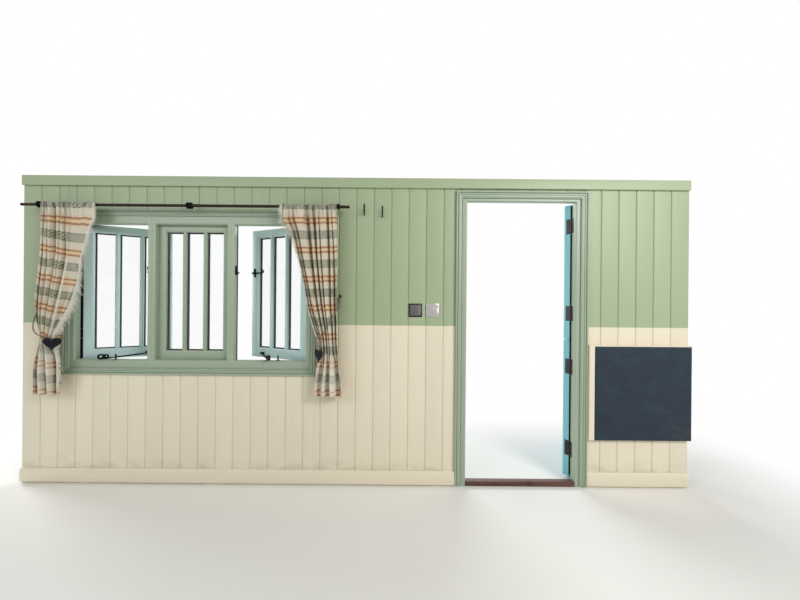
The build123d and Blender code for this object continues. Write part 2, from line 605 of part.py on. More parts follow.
outer_knob = rose + peg(knob_x, OUTSIDE_FACE, OUTSIDE_FACE + KNOB_RADIUS, latch_z, KNOB_RADIUS / 2)
outer_knob += Pos(knob_x, OUTSIDE_FACE + 1.5 * KNOB_RADIUS, latch_z) * Sphere(KNOB_RADIUS)
save("lower_door_latch", swung(case + inner_knob), swung(outer_knob))

bolt_x = LEAF_LEFT + BOLT_INSET
bolt_bottom = upper_leaf[0] + RUNNING_GAP
bolt_plate = block(bolt_x - BOLT_WIDTH / 2, bolt_x + BOLT_WIDTH / 2, room_side - HINGE_PLATE, room_side,
                   bolt_bottom, bolt_bottom + BOLT_LENGTH)
bolt_bar = upright(bolt_x, room_side - HINGE_PLATE - BOLT_RADIUS + 1, bolt_bottom, bolt_bottom + BOLT_LENGTH,
                   BOLT_RADIUS)
bolt_knob = peg(bolt_x, room_side - HINGE_PLATE - 5 * BOLT_RADIUS, room_side - HINGE_PLATE - BOLT_RADIUS,
                bolt_bottom + BOLT_LENGTH * 0.6, BOLT_RADIUS)
save("upper_door_bolt", swung(bolt_plate + bolt_bar + bolt_knob))


# Curtains, gathered on the pole by a slot in their headings. End is the pole's end that the
# curtain hangs by, and inward is 1 on the left and -1 on the right.
def hung(place, end, inward):
    """The X and Z of a place given from an end of the pole."""
    return end + inward * place[0], POLE_HEIGHT - place[1]


def curtain(outer_edge, inner_edge, end, inward):
    top = POLE_HEIGHT + HEADING_ABOVE_POLE

    def front_line(edge):
        places = edge + [(edge[-1][0], CURTAIN_DROP)]
        return [Vector(x, CURTAIN_FRONT, z) for x, z in [hung(place, end, inward) for place in places]]

    outer_line, inner_line = front_line(outer_edge), front_line(inner_edge)
    outer_top = Vector(outer_line[0].X, CURTAIN_FRONT, top)
    inner_top = Vector(inner_line[0].X, CURTAIN_FRONT, top)
    outline = [Line(outer_top, outer_line[0]), Spline(*outer_line), Line(outer_line[-1], inner_line[-1]),
               Spline(*inner_line), Line(inner_line[0], inner_top), Line(inner_top, outer_top)]
    body = extrude(make_face(outline), amount=CURTAIN_DEPTH, dir=(0, 1, 0))
    ends = sorted((outer_top.X, inner_top.X))
    slot = level(ends[0] - CURTAIN_DEPTH, ends[1] + CURTAIN_DEPTH, POLE_Y, POLE_HEIGHT, POLE_RADIUS + SOFT_CLEARANCE)
    return body - slot


save("left_curtain", curtain(LEFT_OUTER_EDGE, LEFT_INNER_EDGE, POLE_LEFT, 1))
save("right_curtain", curtain(RIGHT_OUTER_EDGE, RIGHT_INNER_EDGE, POLE_RIGHT, -1))

# Curtain pole and its brackets, one in the middle and one beside each curtain's outer edge
save("curtain_pole", level(POLE_LEFT, POLE_RIGHT, POLE_Y, POLE_HEIGHT, POLE_RADIUS))


def pole_bracket(x, collars):
    """A wall plate and an arm that comes down from it to one or more collars round the pole."""
    half_width, half_height = BRACKET_PLATE[0] / 2, BRACKET_PLATE[1] / 2
    ring = POLE_RADIUS + BRACKET_RING
    plate_z = POLE_HEIGHT + BRACKET_RISE
    plate = block(x - half_width, x + half_width, ROOM_FACE - BRACKET_PLATE_THICK, ROOM_FACE,
                  plate_z - half_height, plate_z + half_height)
    reach = ROOM_FACE - BRACKET_PLATE_THICK / 2 - POLE_Y
    arm = Cylinder(BRACKET_ARM, (reach ** 2 + BRACKET_RISE ** 2) ** 0.5)
    middle = Pos(x, POLE_Y + reach / 2, POLE_HEIGHT + BRACKET_RISE / 2)
    bracket = plate + middle * Rot(90 + degrees(atan2(BRACKET_RISE, reach)), 0, 0) * arm
    for i in range(collars):
        collar = x + (i - (collars - 1) / 2) * BRACKET_COLLAR_PITCH
        bracket += level(collar - BRACKET_RING_WIDTH / 2, collar + BRACKET_RING_WIDTH / 2, POLE_Y, POLE_HEIGHT, ring)
    if collars > 1:
        half = (BRACKET_COLLAR_PITCH + BRACKET_RING_WIDTH) / 2
        bracket += block(x - half, x + half, POLE_Y + POLE_RADIUS + SOFT_CLEARANCE, POLE_Y + ring,
                         POLE_HEIGHT - BRACKET_ARM, POLE_HEIGHT + BRACKET_ARM)
    return bracket - level(x - BRACKET_PLATE[0], x + BRACKET_PLATE[0], POLE_Y, POLE_HEIGHT,
                           POLE_RADIUS + SOFT_CLEARANCE)


beside_curtain = BRACKET_RING_WIDTH / 2 + RUNNING_GAP
left_bracket = POLE_LEFT + LEFT_OUTER_EDGE[0][0] - beside_curtain
right_bracket = POLE_RIGHT - RIGHT_OUTER_EDGE[0][0] + beside_curtain
middle_bracket = POLE_CENTRE + MIDDLE_BRACKET_SHIFT
save("pole_brackets",
     pole_bracket(left_bracket, 1), pole_bracket(middle_bracket, 2), pole_bracket(right_bracket, 1))


# Wall hooks: one for each tieback, and two for coats
def tie_hook(place):
    x, z = place
    stem_end = ROOM_FACE - HOOK_REACH
    tip = upright(x, stem_end + HOOK_RADIUS, z, z + 3 * HOOK_RADIUS, HOOK_RADIUS)
    return (peg(x, ROOM_FACE - HOOK_RADIUS, ROOM_FACE, z, 2.5 * HOOK_RADIUS)
            + peg(x, stem_end, ROOM_FACE, z, HOOK_RADIUS) + tip)


def coat_hook(x, z):
    half_width, half_height = COAT_HOOK_PLATE[0] / 2, COAT_HOOK_PLATE[1] / 2
    front = ROOM_FACE - COAT_HOOK_THICK
    prong = half_width / 2
    hook = block(x - half_width, x + half_width, front, ROOM_FACE, z - half_height, z + half_height)
    for low, reach in ((z - half_height + prong, COAT_HOOK_REACH * 0.7), (z + prong, COAT_HOOK_REACH)):
        hook += block(x - prong, x + prong, front - reach, front, low, low + 2 * prong)
        hook += block(x - prong, x + prong, front - reach, front - reach + 2 * prong, low, low + 5 * prong)
    return hook


left_hook = hung(LEFT_HOOK_PLACE, POLE_LEFT, 1)
right_hook = hung(RIGHT_HOOK_PLACE, POLE_RIGHT, -1)
save("tieback_hooks", tie_hook(left_hook), tie_hook(right_hook))
save("coat_hooks", *[coat_hook(x, WALL_HEIGHT - drop) for x, drop in COAT_HOOK_PLACES])

# Tiebacks: a cord from its wall hook round the gathered curtain and back, and a felt heart on it
cord_off = SOFT_CLEARANCE + TIE_CORD_RADIUS
cord_front = CURTAIN_FRONT - cord_off
cord_back = CURTAIN_BACK + cord_off


def tie_cord(hook, shoulder, tied):
    """Shoulder and tied are the X and Z points where the cord passes the curtain's two edges."""
    x, z = hook
    y = ROOM_FACE - HOOK_REACH / 2
    start = z - HOOK_RADIUS - SOFT_CLEARANCE
    points = [(x, y - cord_off, start), (x, y - cord_off, start - CORD_STRAIGHT_START),
              (shoulder[0], cord_front, shoulder[1]), (tied[0], cord_front, tied[1]),
              (tied[0], cord_back, tied[1]), (shoulder[0], cord_back, shoulder[1]),
              (x, y + cord_off, start - CORD_STRAIGHT_START), (x, y + cord_off, start)]
    path = FilletPolyline(*points, radius=list(CORD_BENDS))
    return sweep(Plane(path @ 0, z_dir=path % 0) * Circle(TIE_CORD_RADIUS), path=path)


# Each curtain is tied where its inner edge comes nearest to its end of the pole
left_tied = hung((min(LEFT_INNER_EDGE)[0], LEFT_TIE_DROP), POLE_LEFT, 1)
right_tied = hung((min(RIGHT_INNER_EDGE)[0], RIGHT_TIE_DROP), POLE_RIGHT, -1)
save("tieback_cords",
     tie_cord(left_hook, hung(LEFT_CORD_SHOULDER, POLE_LEFT, 1), (left_tied[0] + 4 * cord_off, left_tied[1])),
     tie_cord(right_hook, hung(RIGHT_CORD_SHOULDER, POLE_RIGHT, -1), (right_tied[0] - 4 * cord_off, right_tied[1])))


def heart(corner, top, angle, shift, stand_off):
    """A flat heart that faces the room, turned about the upright line through a corner behind it."""
    w, h = HEART_WIDTH / 2, HEART_HEIGHT
    back = -(2 * TIE_CORD_RADIUS + 2 * SOFT_CLEARANCE)
    outline = []
    for side in (1, -1):
        outline.append(ThreePointArc((0, back, -h * 0.2), (side * w * 0.55, back, 0), (side * w, back, -h * 0.32)))
        outline.append(ThreePointArc((side * w, back, -h * 0.32), (side * w * 0.66, back, -h * 0.66), (0, back, -h)))
    body = extrude(make_face(outline), amount=HEART_THICK, dir=(0, -1, 0))
    return Pos(corner[0], corner[1], top) * Rot(0, 0, angle) * Pos(shift, -stand_off, 0) * body


save("tieback_hearts",
     heart((left_tied[0], CURTAIN_FRONT), left_tied[1] + LEFT_HEART_RISE, LEFT_HEART_ANGLE,
           LEFT_HEART_SHIFT, 0),
     heart((right_tied[0], CURTAIN_FRONT), right_tied[1] + RIGHT_HEART_RISE, RIGHT_HEART_ANGLE,
           RIGHT_HEART_SHIFT, RIGHT_HEART_STAND_OFF))


# Switch plates and the slate heat shield with its timber trim
def switch_plate(place):
    half = SWITCH_PLATE / 2
    return block(place[0] - half, place[0] + half, ROOM_FACE - SWITCH_THICK, ROOM_FACE,
                 place[1] - half, place[1] + half)


save("black_switch_plate", switch_plate(BLACK_SWITCH))
save("chrome_switch_plate", switch_plate(CHROME_SWITCH))

spacer_face = ROOM_FACE - SHIELD_SPACER
shield_face = spacer_face - SHIELD_THICK
save("heat_shield", block(SHIELD_LEFT, RIGHT_END, shield_face, spacer_face, SHIELD_BOTTOM, SHIELD_TOP))
spacers = [block(SHIELD_LEFT, RIGHT_END, spacer_face, ROOM_FACE, z, z + SHIELD_SPACER_HEIGHT)
           for z in (SHIELD_BOTTOM + SHIELD_SPACER_HEIGHT, SHIELD_TOP - 2 * SHIELD_SPACER_HEIGHT)]
save("heat_shield_spacers", *spacers)
save("heat_shield_trim",
     block(SHIELD_LEFT - SHIELD_SIDE_TRIM, SHIELD_LEFT, shield_face, ROOM_FACE, SHIELD_BOTTOM,
           SHIELD_TOP + SHIELD_TOP_TRIM),
     block(SHIELD_LEFT, RIGHT_END, shield_face, ROOM_FACE, SHIELD_TOP, SHIELD_TOP + SHIELD_TOP_TRIM))
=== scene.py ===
"""The side wall of a shepherds hut, dressed: boards, window, stable door, curtains and fittings.

Everything is in metres in the wall's own frame: X runs along the wall, +Y points outdoors and +Z
up. The origin is on the underside of the sole plate, half way along the wall.
"""

import json
import logging
from abc import ABC, abstractmethod
from dataclasses import dataclass, field
from enum import Enum
from functools import cached_property
from math import cos, pi, radians, sin
from typing import Any, Callable, Optional, Union

import bmesh
import bpy
import numpy as np
from mathutils import Matrix, Vector


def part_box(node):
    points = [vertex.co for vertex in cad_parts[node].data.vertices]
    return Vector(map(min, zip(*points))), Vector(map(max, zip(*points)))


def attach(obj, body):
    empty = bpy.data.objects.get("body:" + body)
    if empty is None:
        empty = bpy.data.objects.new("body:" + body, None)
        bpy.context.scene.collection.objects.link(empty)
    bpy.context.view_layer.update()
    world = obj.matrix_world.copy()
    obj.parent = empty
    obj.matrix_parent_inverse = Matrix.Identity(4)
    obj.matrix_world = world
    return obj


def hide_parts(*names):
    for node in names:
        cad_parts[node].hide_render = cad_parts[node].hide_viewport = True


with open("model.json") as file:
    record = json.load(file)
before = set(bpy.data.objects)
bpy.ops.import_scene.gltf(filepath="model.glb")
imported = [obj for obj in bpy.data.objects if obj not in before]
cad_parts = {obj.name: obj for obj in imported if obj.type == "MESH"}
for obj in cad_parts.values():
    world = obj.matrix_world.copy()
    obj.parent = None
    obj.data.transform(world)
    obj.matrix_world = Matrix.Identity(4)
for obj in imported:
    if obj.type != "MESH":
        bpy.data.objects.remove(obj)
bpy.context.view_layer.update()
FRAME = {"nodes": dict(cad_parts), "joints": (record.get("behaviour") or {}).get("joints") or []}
LOG = logging.getLogger("hut_wall")

Array = np.ndarray
Colour = tuple[float, float, float]
Point = Union[tuple[float, float, float], Array]
Pair = tuple[float, float]
Amount = Union[float, Array]
Outline = Union[Array, list]
Socket = bpy.types.NodeSocket


# Shader maths


def srgb(red: int, green: int, blue: int) -> Colour:
    """A screen colour of 0 to 255 as a linear one: ((v + 0.055) / 1.055) ** 2.4."""
    screen = np.array((red, green, blue)) / 255
    return tuple(float(v) for v in ((screen + 0.055) / 1.055) ** 2.4)


def operator(operation: str, swapped: bool = False) -> Callable[..., "Wire"]:
    """Makes a method of Wire that adds one Math node.

    Args:
        operation: The node's operation.
        swapped: Whether the wire comes last.

    Returns:
        The method.
    """
    def apply(self: "Wire", *others: "Number") -> "Wire":
        """Adds the node."""
        return self.graph.maths(operation, *((*others, self) if swapped else (self, *others)))

    return apply


class Wire:
    """A number that changes over a surface, held as the socket that carries it."""

    __add__ = __radd__ = operator("ADD")
    __sub__, __rsub__ = operator("SUBTRACT"), operator("SUBTRACT", True)
    __mul__ = __rmul__ = operator("MULTIPLY")
    __truediv__, __mod__ = operator("DIVIDE"), operator("FLOORED_MODULO")
    __gt__ = operator("GREATER_THAN")
    __abs__, floor, sine = operator("ABSOLUTE"), operator("FLOOR"), operator("SINE")

    def __init__(self, graph: "Graph", socket: Socket) -> None:
        """Keeps the graph and the socket."""
        self.graph, self.socket = graph, socket

    def ramp(self, low: float, high: float) -> "Wire":
        """A smooth step from 0 at low to 1 at high.

        Args:
            low: Where the step starts.
            high: Where it ends.

        Returns:
            The wire.
        """
        inputs = {"Value": self, "From Min": low, "From Max": high}
        made = self.graph.node("MapRange", {"interpolation_type": "SMOOTHSTEP"}, inputs)
        return Wire(self.graph, made.outputs[0])


Number = Union[Wire, float]
Tint = Union[Colour, Socket]


class Graph:
    """The node tree of a finish."""

    def __init__(self, tree: bpy.types.NodeTree) -> None:
        """Keeps the tree and empties it."""
        self.tree = tree
        self.tree.nodes.clear()

    def node(self, kind: str, settings: Optional[dict] = None,
             inputs: Optional[dict] = None) -> bpy.types.Node:
        """Adds a node.

        Args:
            kind: The node's type, without its ShaderNode prefix.
            settings: Its own settings.
            inputs: Values or links of its sockets, by name or index.

        Returns:
            The node.
        """
        made = self.tree.nodes.new("ShaderNode" + kind)
        for key, value in (settings or {}).items():
            setattr(made, key, value)
        for key, value in (inputs or {}).items():
            value = value.socket if isinstance(value, Wire) else value
            if isinstance(value, Socket):
                self.tree.links.new(value, made.inputs[key])
            else:
                made.inputs[key].default_value = value
        return made

    def maths(self, operation: str, *values: Number) -> Wire:
        """One Math node on numbers or wires."""
        made = self.node("Math", {"operation": operation}, dict(enumerate(values)))
        return Wire(self, made.outputs[0])

    def place(self) -> Socket:
        """The point's place in the wall's frame."""
        return self.node("TexCoord").outputs["Object"]

    def axes(self, vector: Optional[Socket] = None) -> tuple[Wire, Wire, Wire]:
        """The three coordinates of a vector, or of the point's place."""
        made = self.node("SeparateXYZ", None, {0: vector or self.place()})
        return tuple(Wire(self, socket) for socket in made.outputs)

    def flat(self) -> tuple[Wire, Wire]:
        """The piece's own flat coordinates, in metres of cloth."""
        made = self.node("UVMap", {"uv_map": "flat"})
        return self.axes(made.outputs[0])[:2]

    def mark(self, name: str) -> Wire:
        """A number kept at each point of the piece."""
        return Wire(self, self.node("Attribute", {"attribute_name": name}).outputs["Fac"])

    def stretched(self, scale: Point) -> Socket:
        """The point's place with each coordinate multiplied."""
        made = self.node("VectorMath", {"operation": "MULTIPLY"}, {0: self.place(), 1: scale})
        return made.outputs[0]

    def noise(self, scale: Union[float, Point], detail: float = 3, warp: float = 0,
              vector: Optional[Socket] = None) -> Wire:
        """Soft random values from 0 to 1, with so many waves to a metre, along each axis or along all.

        Args:
            scale: Waves to a metre, for all axes or by axis.
            detail: Octaves.
            warp: How far the noise distorts itself.
            vector: The place to read it at, if not the point's own.

        Returns:
            The wire.
        """
        scale = scale if isinstance(scale, tuple) else (scale, scale, scale)
        inputs = {"Vector": vector or self.stretched(scale), "Scale": 1, "Detail": detail, "Distortion": warp}
        return Wire(self, self.node("TexNoise", None, inputs).outputs[0])

    def lottery(self, number: Wire) -> Wire:
        """A random value from 0 to 1 for each number."""
        made = self.node("TexWhiteNoise", {"noise_dimensions": "1D"}, {"W": number})
        return Wire(self, made.outputs[0])

    def cells(self, scale: Point, feature: str = "F1") -> Wire:
        """Distance to the nearest of scattered points."""
        inputs = {"Vector": self.stretched(scale), "Scale": 1}
        return Wire(self, self.node("TexVoronoi", {"feature": feature}, inputs).outputs["Distance"])

    def mix(self, share: Number, first: Tint, second: Tint) -> Socket:
        """A colour between two others."""
        tints = [(*t, 1) if isinstance(t, tuple) else t for t in (first, second)]
        return self.node("Mix", {"data_type": "RGBA"}, {0: share, 6: tints[0], 7: tints[1]}).outputs[2]

    def shade(self, colour: Tint, amount: Wire) -> Socket:
        """A colour multiplied by a number, which changes its lightness alone."""
        grey = self.node("CombineXYZ", None, dict.fromkeys(range(3), amount)).outputs[0]
        return self.node("VectorMath", {"operation": "MULTIPLY"}, {0: colour, 1: grey}).outputs[0]

    def bump(self, height: Wire, depth: float, strength: float = 1) -> Socket:
        """A normal tilted by a height from 0 to 1, whose full depth is given in metres."""
        inputs = {"Height": height, "Distance": depth, "Strength": strength}
        return self.node("Bump", None, inputs).outputs[0]

    def seen(self) -> Wire:
        """How many of these a ray is: straight from the camera, off gloss or through glass.

        Returns:
            The wire, from 0 to 3.
        """
        rays, kinds = self.node("LightPath").outputs, ("Camera", "Glossy", "Transmission")
        camera, gloss, glass = (Wire(self, rays[f"Is {kind} Ray"]) for kind in kinds)
        return camera + gloss + glass

    def surface(self, base: Tint, roughness: Number, normal: Optional[Socket] = None,
                **constants: Any) -> None:
        """Closes the graph with a Principled shader.

        Args:
            base: The colour.
            roughness: A number or a wire.
            normal: A bumped normal, if there is one.
            constants: More sockets by name, with underscores for spaces.
        """
        inputs = {"Base Color": (*base, 1) if isinstance(base, tuple) else base, "Roughness": roughness}
        if normal is not None:
            inputs["Normal"] = normal
        for key, value in constants.items():
            inputs[key.replace("_", " ").title().replace("Ior", "IOR")] = value
        shader = self.node("BsdfPrincipled", None, inputs)
        self.node("OutputMaterial", None, {"Surface": shader.outputs[0]})


# Finishes

# Finishes that go into the record's slot of another
SHARED_SLOTS = {"sage_and_cream_paint": "sage_paint", "sash_paint": "joinery_paint", "pewter": "black_metal",
                "black_rubber": "black_iron", "fringe_thread": "striped_cotton"}


class Finish(ABC):
    """What finishes share: a material with the finish's name, whose nodes the finish draws."""

    name: str

    @abstractmethod
    def draw(self, graph: Graph) -> None:
        """Draws the nodes in the material's empty graph."""

    @property
    def slot(self) -> str:
        """The record's material slot, which has the finish's name in most cases."""
        return SHARED_SLOTS.get(self.name, self.name)

    def material(self) -> bpy.types.Material:
        """The finish as a new material.

        Returns:
            The material.
        """
        material = bpy.data.materials.new(self.name)
        material.use_nodes = True
        self.draw(Graph(material.node_tree))
        return material


class Run(Enum):
    """The way that a piece's brush strokes or grain run."""

    UPRIGHT = "upright"
    LEVEL = "level"
    MARKED = "marked"


def grain_noise(graph: Graph, run: Run, across: float, length: float, detail: float = 3) -> Wire:
    """Noise drawn out along a piece: fine across it, long along it.

    Args:
        graph: The graph that the nodes go into.
        run: The way that the piece runs.
        across: Waves to a metre across it.
        length: Waves to a metre along it.
        detail: Octaves.

    Returns:
        The wire.
    """
    upright = (across, across, length)
    level = (length, across, across)
    if run is Run.UPRIGHT:
        return graph.noise(upright, detail)
    if run is Run.LEVEL:
        return graph.noise(level, detail)
    share = graph.mark("level")
    return graph.noise(upright, detail) * (1 - share) + graph.noise(level, detail) * share


@dataclass(frozen=True)
class Paint(Finish):
    """Oil paint, brushed on timber and rubbed a little at its arrises, which also carry a painted highlight,
    and darkened with painted shade in its hollow corners.
    """

    name: str
    colour: Colour
    at_arrises: Colour
    run: Run = Run.MARKED
    sheen: float = 0.42
    weather: float = 0.0

    def draw(self, graph: Graph) -> None:
        """Draws the nodes.

        Args:
            graph: The material's empty graph.
        """
        strokes = grain_noise(graph, self.run, 380, 9)
        broad = graph.noise((2.1, 2.1, 1.7), 2)
        lightness = 0.93 + strokes * 0.08 + broad * 0.08
        # Standing arrises go paler in patches: partly paint rubbed through, partly a painted highlight.
        pale_arris = (graph.mark("arris") * (graph.noise(30, 3) * 1.5 - 0.2)).ramp(0.2, 1.0)
        # Hollow corners and quirks are darkened by up to 42 per cent: painted shade.
        lightness = lightness * (1 - (0 - graph.mark("arris")).ramp(0.0, 0.8) * 0.42)
        colour = graph.mix(pale_arris * 0.42, graph.shade(self.colour, lightness), self.at_arrises)
        if self.weather:
            stains = (grain_noise(graph, self.run, 26, 1.6, 5) * graph.noise((5, 5, 3), 3)).ramp(0.26, 0.5)
            faded = tuple(v * 0.62 + 0.05 for v in self.colour)
            colour = graph.mix(stains * self.weather, colour, faded)
        grain = grain_noise(graph, self.run, 150, 4, 4)
        height = strokes * 0.4 + grain * 0.4 + graph.noise(900, 1) * 0.2
        graph.surface(colour, self.sheen + strokes * 0.14 - broad * 0.06, graph.bump(height, 0.0006))


@dataclass(frozen=True)
class TwoTonePaint(Finish):
    """The inner boards' paint: one colour above a line and another below it, board by board."""

    name: str
    upper: Colour
    lower: Colour
    change_height: float
    board: float

    def draw(self, graph: Graph) -> None:
        """Draws the nodes.

        Args:
            graph: The material's empty graph.
        """
        x, _, z = graph.axes()
        strokes = graph.noise((420, 420, 7), 3)
        broad = graph.noise((1.6, 1.6, 1.2), 2)
        tint = graph.lottery((x / self.board).floor())
        across = abs((x / self.board) % 1 - 0.5)
        # The boards are darker, in patches, within a few millimetres of each joint.
        near_joints = across.ramp(0.455, 0.497) * (0.35 + graph.noise((3, 3, 2.4), 4) * 0.65)
        line = self.change_height + (graph.noise((34, 1, 1), 4) - 0.5) * 0.004
        above = (z - line).ramp(-0.0006, 0.0006)
        lightness = 0.90 + strokes * 0.08 + broad * 0.10 + tint * 0.05 - near_joints * 0.16
        scuffs = (graph.noise((9, 9, 21), 5) * (0.32 - z).ramp(0.0, 0.34)).ramp(0.2, 0.62)
        cream = graph.mix(scuffs * 0.4, self.lower, srgb(150, 138, 112))
        colour = graph.shade(graph.mix(above, cream, self.upper), lightness)
        grain = graph.noise((150, 150, 3.2), 4, 0.6)
        height = strokes * 0.4 + grain * 0.45 + graph.noise(900, 1) * 0.15
        graph.surface(colour, 0.40 + strokes * 0.16 + near_joints * 0.1, graph.bump(height, 0.0007))


@dataclass(frozen=True)
class Timber(Finish):
    """Bare timber with year rings and pores drawn out along the grain."""

    name: str
    pale: Colour
    dark: Colour
    run: Run
    rough: float = 0.62
    rings: float = 46

    def draw(self, graph: Graph) -> None:
        """Draws the nodes.

        Args:
            graph: The material's empty graph.
        """
        wander = grain_noise(graph, self.run, 5, 0.9, 3)
        bands = ((grain_noise(graph, self.run, 17, 0.6, 2) * self.rings + wander * 7).sine() * 0.5 + 0.5)
        pores = grain_noise(graph, self.run, 620, 16, 2).ramp(0.48, 0.7)
        knots = (0.30 - graph.cells((6.3, 6.3, 2.9))).ramp(0.0, 0.14)
        share = bands * 0.55 + pores * 0.3 + knots * 0.6
        pale_arris = (graph.mark("arris") * graph.noise(40, 3)).ramp(0.3, 0.7)
        colour = graph.mix(share, self.pale, self.dark)
        colour = graph.mix(pale_arris * 0.35, colour, self.pale)
        height = bands * 0.45 + (1 - pores) * 0.55
        graph.surface(colour, self.rough + pores * 0.16 - bands * 0.06, graph.bump(height, 0.0005))


@dataclass(frozen=True)
class Metal(Finish):
    """Iron or steel: forged, blacked, rusted or plated."""

    name: str
    colour: Colour
    bloom: Colour
    metallic: float
    rough: float
    bloomed: float = 0.3
    dents: float = 0.0004
    gloss: float = 0.5

    def draw(self, graph: Graph) -> None:
        """Draws the nodes.

        Args:
            graph: The material's empty graph.
        """
        patches = graph.noise(85, 5, 0.4).ramp(0.42, 0.68)
        speckle = graph.noise(700, 2)
        at_arrises = (graph.mark("arris") * graph.noise(70, 3)).ramp(0.28, 0.7)
        colour = graph.mix(patches * self.bloomed, self.colour, self.bloom)
        colour = graph.mix(at_arrises * 0.5, colour, tuple(min(1.0, v * 2.2 + 0.03) for v in self.colour))
        hammered = graph.noise(120, 1)
        height = hammered * 0.75 + speckle * 0.25
        roughness = self.rough + patches * 0.16 + speckle * 0.08 - at_arrises * 0.12
        graph.surface(colour, roughness, graph.bump(height, self.dents), metallic=self.metallic,
                      specular_ior_level=self.gloss)


@dataclass(frozen=True)
class Glass(Finish):
    """Thin window glass with a little dust in patches."""

    name: str = "window_glass"

    def draw(self, graph: Graph) -> None:
        """Draws the nodes.

        Args:
            graph: The material's empty graph.
        """
        dust = (graph.noise((7, 7, 5), 5) * graph.noise((60, 60, 34), 3)).ramp(0.24, 0.6)
        graph.surface(srgb(214, 228, 224), 0.02 + dust * 0.15, None, alpha=0.05 + dust * 0.03)


@dataclass(frozen=True)
class StripedCotton(Finish):
    """Handwoven cotton: pairs of rust lines, and bands of broken grey weft between them.

    Lengths are metres down the cloth. The first pair starts below the heading's top edge.
    """

    name: str = "striped_cotton"
    repeat: float = 0.179
    first_pair: float = 0.087
    line: float = 0.0112
    line_step: float = 0.0285
    band_start: float = 0.0805
    band_height: float = 0.051
    thread: float = 0.0021

    def draw(self, graph: Graph) -> None:
        """Draws the nodes.

        Args:
            graph: The material's empty graph.
        """
        u, v = graph.flat()
        waver = (self.cloth_noise(graph, 2, u, v, 7, 3) - 0.5) * 0.004
        down = (v - self.first_pair + waver) % self.repeat
        threads = self.threads(u, v)
        slub = self.cloth_noise(graph, 3, u, v, 30, 620)
        cream = graph.mix(slub, srgb(238, 232, 214), srgb(214, 204, 180))
        pair_end = self.line_step + self.line
        blush = (down - self.repeat + 0.020).ramp(0, 0.016)
        blush = blush + self.band(down, -0.02, pair_end + 0.012, 0.018)
        cream = graph.mix(blush * 0.42, cream, srgb(232, 205, 170))
        between = self.band(down, 0.0, pair_end, 0.002)
        colour = graph.mix(between * 0.8, cream, srgb(238, 208, 164))
        lines = self.band(down, 0, self.line, 0.005) + self.band(down, self.line_step, pair_end, 0.005)
        colour = graph.mix(lines * (0.62 + slub * 0.3), colour, srgb(160, 96, 50))
        colour = graph.mix(self.broken_band(graph, u, v, down), colour, srgb(112, 119, 92))
        # Painted highlight mixes the cloth towards white, and painted shade darkens it deep in the folds.
        depth = graph.mark("valley")
        colour = graph.mix((0 - depth).ramp(0, 0.6) * 0.86, colour, srgb(251, 248, 238))
        colour = graph.shade(colour, (0.90 + threads * 0.10) * (1 - depth.ramp(0, 1) * 0.52))
        normal = graph.bump(threads * 0.7 + slub * 0.3, 0.0007)
        graph.surface(colour, 0.92, normal, sheen_weight=0.2, sheen_roughness=0.5)

    @staticmethod
    def cloth_noise(graph: Graph, detail: float, u: Wire, v: Wire, across: float, down: float) -> Wire:
        """Soft random values over the flat cloth, with so many waves to a metre across and down it."""
        point = graph.node("CombineXYZ", None, {0: u * across, 1: v * down}).outputs[0]
        return graph.noise(0, detail, vector=point)

    @staticmethod
    def band(down: Wire, start: float, end: float, soft: float) -> Wire:
        """1 between two distances down the repeat, with soft edges."""
        return (down - start).ramp(-soft / 2, soft / 2) * (end - down).ramp(-soft / 2, soft / 2)

    def threads(self, u: Wire, v: Wire) -> Wire:
        """A plain weave: warp and weft humps that swap from one crossing to the next."""
        warp, weft = ((way * (2 * pi / self.thread)).sine() for way in (u, v))
        return warp * weft * 0.5 + 0.5

    def broken_band(self, graph: Graph, u: Wire, v: Wire, down: Wire) -> Wire:
        """The grey band: dashes that lean one way, in blocks that come and go.

        Args:
            graph: The graph that the nodes go into.
            u: Metres across the cloth.
            v: Metres down the cloth.
            down: Metres down the repeat.

        Returns:
            How far the weft covers the cloth, from 0 to 1.
        """
        start, end = self.band_start, self.band_start + self.band_height
        inside = self.band(down, start, end, 0.006)
        lean = ((u + v * 0.9) * (2 * pi / 0.0165)).sine()
        blocks = self.cloth_noise(graph, 2, u, v, 40, 34)
        flecks = self.cloth_noise(graph, 1, u, v, 120, 95)
        dashes = (lean * 0.30 + blocks * 0.9 + flecks * 0.5).ramp(0.34, 0.90)
        edge_rows = self.band(down, start, start + 0.006, 0.003) + self.band(down, end - 0.006, end, 0.003)
        return inside * (0.08 + dashes * 0.84) + edge_rows * blocks * 0.3


@dataclass(frozen=True)
class Fibre(Finish):
    """Twisted cord, fringe thread or felt."""

    name: str
    pale: Colour
    dark: Colour
    fuzz: float
    depth: float
    sheen: float = 0.4

    def draw(self, graph: Graph) -> None:
        """Draws the nodes.

        Args:
            graph: The material's empty graph.
        """
        clumps = graph.noise(self.fuzz, 5, 0.8)
        fine = graph.noise(self.fuzz * 6, 2)
        colour = graph.mix((clumps * 0.65 + fine * 0.35).ramp(0.28, 0.72), self.dark, self.pale)
        normal = graph.bump(clumps * 0.6 + fine * 0.4, self.depth)
        graph.surface(colour, 0.94, normal, sheen_weight=self.sheen, sheen_roughness=0.45,
                      specular_ior_level=0.15)


